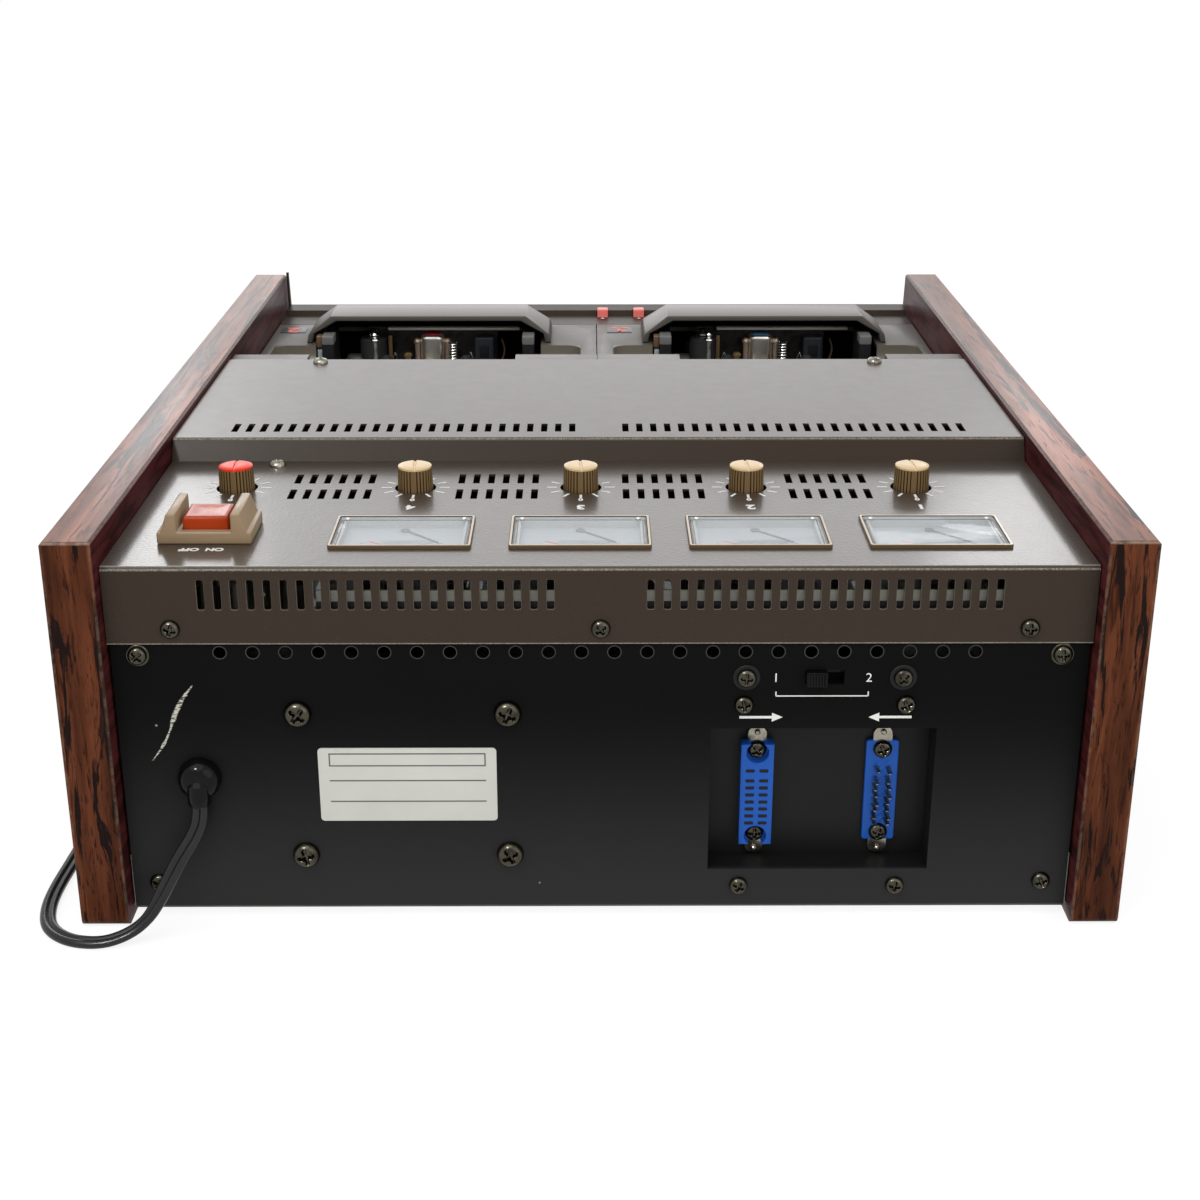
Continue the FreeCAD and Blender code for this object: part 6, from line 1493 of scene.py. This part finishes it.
class DUPLICATOR_OT_transport(bpy.types.Operator):
    """Transport frame, drive, rollers and reel spindles"""

    bl_idname = "duplicator.transport"
    bl_label = "Transport"

    def execute(self, context):
        dress(["transport_frame"], shared["gunmetal"])
        dress(["flywheel_left", "flywheel_right"], plated("turned_steel", (0.86, 0.86, 0.83), 0.34))
        finial = turned([(0.00126, 0), (0.0021, 0.0001), (0.0023, 0.0006), (0.0021, 0.0012), (0.0013, 0.0016),
                         (0.0012, 0.0022), (0.0018, 0.0029), (0.0019, 0.0036), (0.0014, 0.0045),
                         (0.0006, 0.0052), (0.0001, 0.0053)], 28)
        for side in SIDES:
            at = centre(f"flywheel_{side}")
            piece(f"capstan_cap_{side}", [(placed(finial, (at.x, at.y, 0.1345)), shared["bright"])],
                  f"flywheel_{side}")
        dress(["motor_pulley"], shared["brass"])
        dress(["drive_motor"], plated("motor_can", (0.42, 0.42, 0.41), 0.3))
        dress(["drive_belt"], shared["rubber"])
        for side in SIDES:
            for hand in ("supply", "takeup"):
                node = f"reel_spindle_{side}_{hand}"
                softened(f"{node}_moulding", node, shared["matt"], 0.0002, body=node)
            node = f"pinch_roller_{side}"
            at = centre(node)
            low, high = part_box(node)
            tall, radius = high.z - low.z, (high.x - low.x) / 2
            profile = [(0.00155, 0), (radius - 0.0008, 0), (radius, 0.0008), (radius, tall - 0.0008),
                       (radius - 0.0008, tall), (0.00155, tall), (0.00155, tall * 0.5)]
            tyre = turned_ring(profile, 40)
            hub = turned_ring([(0.00156, tall - 0.0002), (0.0034, tall - 0.0002), (0.0034, tall + 0.0004),
                               (0.00156, tall + 0.0004)], 28)
            foot = (at.x, at.y, low.z)
            parts = [(placed(tyre, foot), shared["rubber"]), (placed(hub, foot), shared["bright"])]
            piece(f"{node}_tyre", parts, node, [node])
        return {"FINISHED"}


class DUPLICATOR_OT_front(bpy.types.Operator):
    """Front push buttons with plain symbols and the two small red buttons"""

    bl_idname = "duplicator.front"
    bl_label = "Front buttons"

    def execute(self, context):
        grey = plain_finish("key_moulding", (0.30, 0.27, 0.23), 0.36, wear=0.06, coat_weight=0.3)
        foot_y, setback, tall = -0.2445, 0.029, 0.156       # foot of the panel's face, and its lean
        key_z, proud = 0.092, 0.00402                       # height of the keys and how far they stand out
        lean = math.atan2(setback, tall)
        out = Vector((0, -math.cos(lean), math.sin(lean)))
        turn = Matrix(((1, 0, 0), (0, math.sin(lean), -math.cos(lean)), (0, math.cos(lean), math.sin(lean))))
        symbols = {
            "rewind_button": [[(-0.004, 0), (0, 0.003), (0, -0.003)],
                              [(0, 0), (0.004, 0.003), (0.004, -0.003)]],
            "stop_button": [[(-0.0028, -0.0028), (0.0028, -0.0028), (0.0028, 0.0028), (-0.0028, 0.0028)]],
            "copy_button": [[(0.004, 0), (-0.003, -0.0036), (-0.003, 0.0036)]],
        }
        for node, shapes in symbols.items():
            softened(f"{node}_moulding", node, grey, 0.0008, 3, body=node)
            at = Vector((centre(node).x, foot_y + setback * key_z / tall, key_z)) + out * proud
            marks = [flat_mark(s if signed_area(s) > 0 else s[::-1], at, turn, 0.0002) for s in shapes]
            piece(f"{node}_symbol", [(joined(marks), shared["white"])], node)
        coral = plain_finish("small_button", (0.95, 0.20, 0.17), 0.35, wear=0.04, specular_ior_level=0.3)
        for node in RED_BUTTONS:
            softened(f"{node}_moulding", node, coral, 0.0006, 3, body=node)
        return {"FINISHED"}


class DUPLICATOR_OT_inside(bpy.types.Operator):
    """Transformer, circuit board with its components, and potentiometers"""

    bl_idname = "duplicator.inside"
    bl_label = "Inside parts"

    def execute(self, context):
        dress(["power_transformer"], laminated_core())
        dress(["circuit_board"], circuit_laminate())
        dress(["potentiometers"], shared["zinc"])
        board_top, strip_x, strip_y = 0.1206, -0.0235, 0.2349
        cans = plain_finish("capacitor_sleeve", (0.030, 0.022, 0.016), 0.35, wear=0.2)
        tan = plain_finish("resistor_body", (0.38, 0.2, 0.08), 0.4, wear=0.2)
        pale = plain_finish("film_capacitor", (0.24, 0.23, 0.20), 0.45, wear=0.1)
        standing = turned([(0.0028, 0), (0.0031, 0.0003), (0.0031, 0.0105), (0.0027, 0.011),
                           (0.0001, 0.011)], 14)
        lying = turned([(0.0002, -0.0035), (0.0012, -0.0034), (0.0013, -0.0022), (0.0010, -0.0012),
                        (0.0010, 0.0012), (0.0013, 0.0022), (0.0012, 0.0034), (0.0002, 0.0035)], 10)
        lying = placed(lying, turn=spun(90, "Y"))
        chance = np.random.default_rng(7)
        caps, rests = [], []
        for i in range(26):
            x = -0.145 + i * 0.0116 + chance.uniform(-0.002, 0.002)
            caps.append(placed(standing, (x, inset(24.2 + chance.uniform(0, 1.0)), board_top)))
        for i in range(40):
            x = -0.145 + i * 0.0074 + chance.uniform(-0.001, 0.001)
            rests.append(placed(lying, (x, inset(69 + 6 * (i % 3)), board_top + 0.0013), spun(90 * (i % 2))))
        strip = placed(soft_block((0.253, 0.0011, 0.0043), 0.0002, 0.0003), (strip_x, strip_y, 0.1298))
        foot = placed(soft_block((0.253, 0.0011, 0.0088), 0.0001, 0.0002), (strip_x, strip_y, 0.1210))
        screen = plain_finish("screen_strip", (0.235, 0.225, 0.19), 0.5, wear=0.35)
        piece("board_parts", [(joined(caps[::3]), pale), (strip, screen), (foot, shared["matt"]),
                              (joined(caps[1::3] + caps[2::3]), cans), (joined(rests), tan)],
              "case")
        return {"FINISHED"}


class DUPLICATOR_OT_stage(bpy.types.Operator):
    """Pale floor and soft studio light"""

    bl_idname = "duplicator.stage"
    bl_label = "Studio"

    def execute(self, context):
        stage = bpy.context.scene.duplicator_stage
        self.floor()
        self.world(stage.ambient)
        self.lamp("key_panel", stage.key_light, (0.35, 0.75, 1.35), 1.5)
        self.lamp("fill_panel", stage.fill_light, (-0.9, 1.3, 0.75), 1.4)
        self.lamp("front_panel_light", stage.front_light, (0.15, -2.4, 0.85), 1.6)
        self.lamp("spark_panel", stage.spark_light, (0.55, 1.15, 1.25), 0.22, soft=False)
        for side in (-1, 1):
            self.lamp(f"glint_panel_{side}", stage.glint_light, (side * 0.66, -1.82, 0.9), 0.30, soft=False)
        return {"FINISHED"}

    def floor(self):
        """A white floor that keeps the object's shadow, and looks paler to the camera than it lights."""
        data = bpy.data.meshes.new("floor")
        reach = 6.0
        corners = [(x * reach, y * reach, 0) for x, y in ((-1, -1), (1, -1), (1, 1), (-1, 1))]
        data.from_pydata(corners, [], [(0, 1, 2, 3)])
        floor = bpy.data.objects.new("floor", data)
        bpy.context.scene.collection.objects.link(floor)
        finish = Finish("floor_sweep", (0.86, 0.86, 0.86), 0.9, specular_ior_level=0.0)
        paths = finish.add("LightPath").outputs
        seen = finish.most(finish.most(paths["Is Camera Ray"], paths["Is Glossy Ray"]),
                           paths["Is Transmission Ray"])
        glow = finish.add("Emission", {"Color": (1, 1, 1, 1), "Strength": 1.2}).outputs[0]
        both = finish.add("MixShader", {0: finish.times(seen, 0.7), 1: finish.shader.outputs[0], 2: glow})
        finish.tree.links.new(both.outputs[0], finish.tree.nodes["Material Output"].inputs["Surface"])
        data.materials.append(finish.material)

    def world(self, ambient):
        """White all round: full strength where it is seen or mirrored, and the ambient strength as light."""
        world = bpy.data.worlds.new("studio")
        bpy.context.scene.world = world
        world.use_nodes = True
        tree = world.node_tree
        back = tree.nodes["Background"]
        back.inputs["Color"].default_value = (1, 1, 1, 1)
        paths = tree.nodes.new("ShaderNodeLightPath").outputs
        seen = paths["Is Camera Ray"]
        for path in ("Is Glossy Ray", "Is Transmission Ray"):
            most = tree.nodes.new("ShaderNodeMath")
            most.operation = "MAXIMUM"
            tree.links.new(seen, most.inputs[0])
            tree.links.new(paths[path], most.inputs[1])
            seen = most.outputs[0]
        level = tree.nodes.new("ShaderNodeMapRange")
        level.inputs["To Min"].default_value = ambient
        level.inputs["To Max"].default_value = 1.0
        tree.links.new(seen, level.inputs["Value"])
        tree.links.new(level.outputs[0], back.inputs["Strength"])

    def lamp(self, name, power, at, size, soft=True):
        """A round lamp turned to the object; soft ones light it, and the others only put glints on it."""
        data = bpy.data.lights.new(name, "AREA")
        data.shape = "DISK"
        data.size = size
        data.energy = power
        lamp = bpy.data.objects.new(name, data)
        bpy.context.scene.collection.objects.link(lamp)
        lamp.location = at
        lamp.visible_diffuse = soft
        lamp.rotation_mode = "QUATERNION"
        lamp.rotation_quaternion = (Vector((0, 0, 0.08)) - Vector(at)).to_track_quat("-Z", "Y")


class DUPLICATOR_PT_panel(bpy.types.Panel):
    """The duplicator's operators and settings"""

    bl_idname = "DUPLICATOR_PT_panel"
    bl_label = "Cassette Duplicator"
    bl_space_type = "VIEW_3D"
    bl_region_type = "UI"
    bl_category = "Duplicator"

    def draw(self, context):
        for operator in OPERATORS:
            self.layout.operator(operator.bl_idname)
        for group in (context.scene.duplicator_finishes, context.scene.duplicator_sizes,
                      context.scene.duplicator_stage):
            box = self.layout.box()
            for word in group.__annotations__:
                box.prop(group, word)


OPERATORS = [
    DUPLICATOR_OT_camera, DUPLICATOR_OT_cord, DUPLICATOR_OT_cabinet, DUPLICATOR_OT_screws,
    DUPLICATOR_OT_connectors, DUPLICATOR_OT_slide_switch, DUPLICATOR_OT_marks, DUPLICATOR_OT_knobs,
    DUPLICATOR_OT_meters, DUPLICATOR_OT_power, DUPLICATOR_OT_deck, DUPLICATOR_OT_heads,
    DUPLICATOR_OT_transport, DUPLICATOR_OT_front, DUPLICATOR_OT_inside, DUPLICATOR_OT_stage,
]
GROUPS = {
    "duplicator_finishes": DUPLICATOR_PG_finishes,
    "duplicator_sizes": DUPLICATOR_PG_sizes,
    "duplicator_stage": DUPLICATOR_PG_stage,
}


def register():
    for group in (*GROUPS.values(), *OPERATORS, DUPLICATOR_PT_panel):
        bpy.utils.register_class(group)
    for word, group in GROUPS.items():
        setattr(bpy.types.Scene, word, bpy.props.PointerProperty(type=group))


def unregister():
    for word in GROUPS:
        delattr(bpy.types.Scene, word)
    for group in (DUPLICATOR_PT_panel, *OPERATORS[::-1], *GROUPS.values()):
        bpy.utils.unregister_class(group)


def main():
    register()
    bpy.context.scene.view_settings.view_transform = "Standard"
    make_shared()
    for operator in OPERATORS:
        space, name = operator.bl_idname.split(".")
        getattr(getattr(bpy.ops, space), name)()


if __name__ == "__main__":
    main()
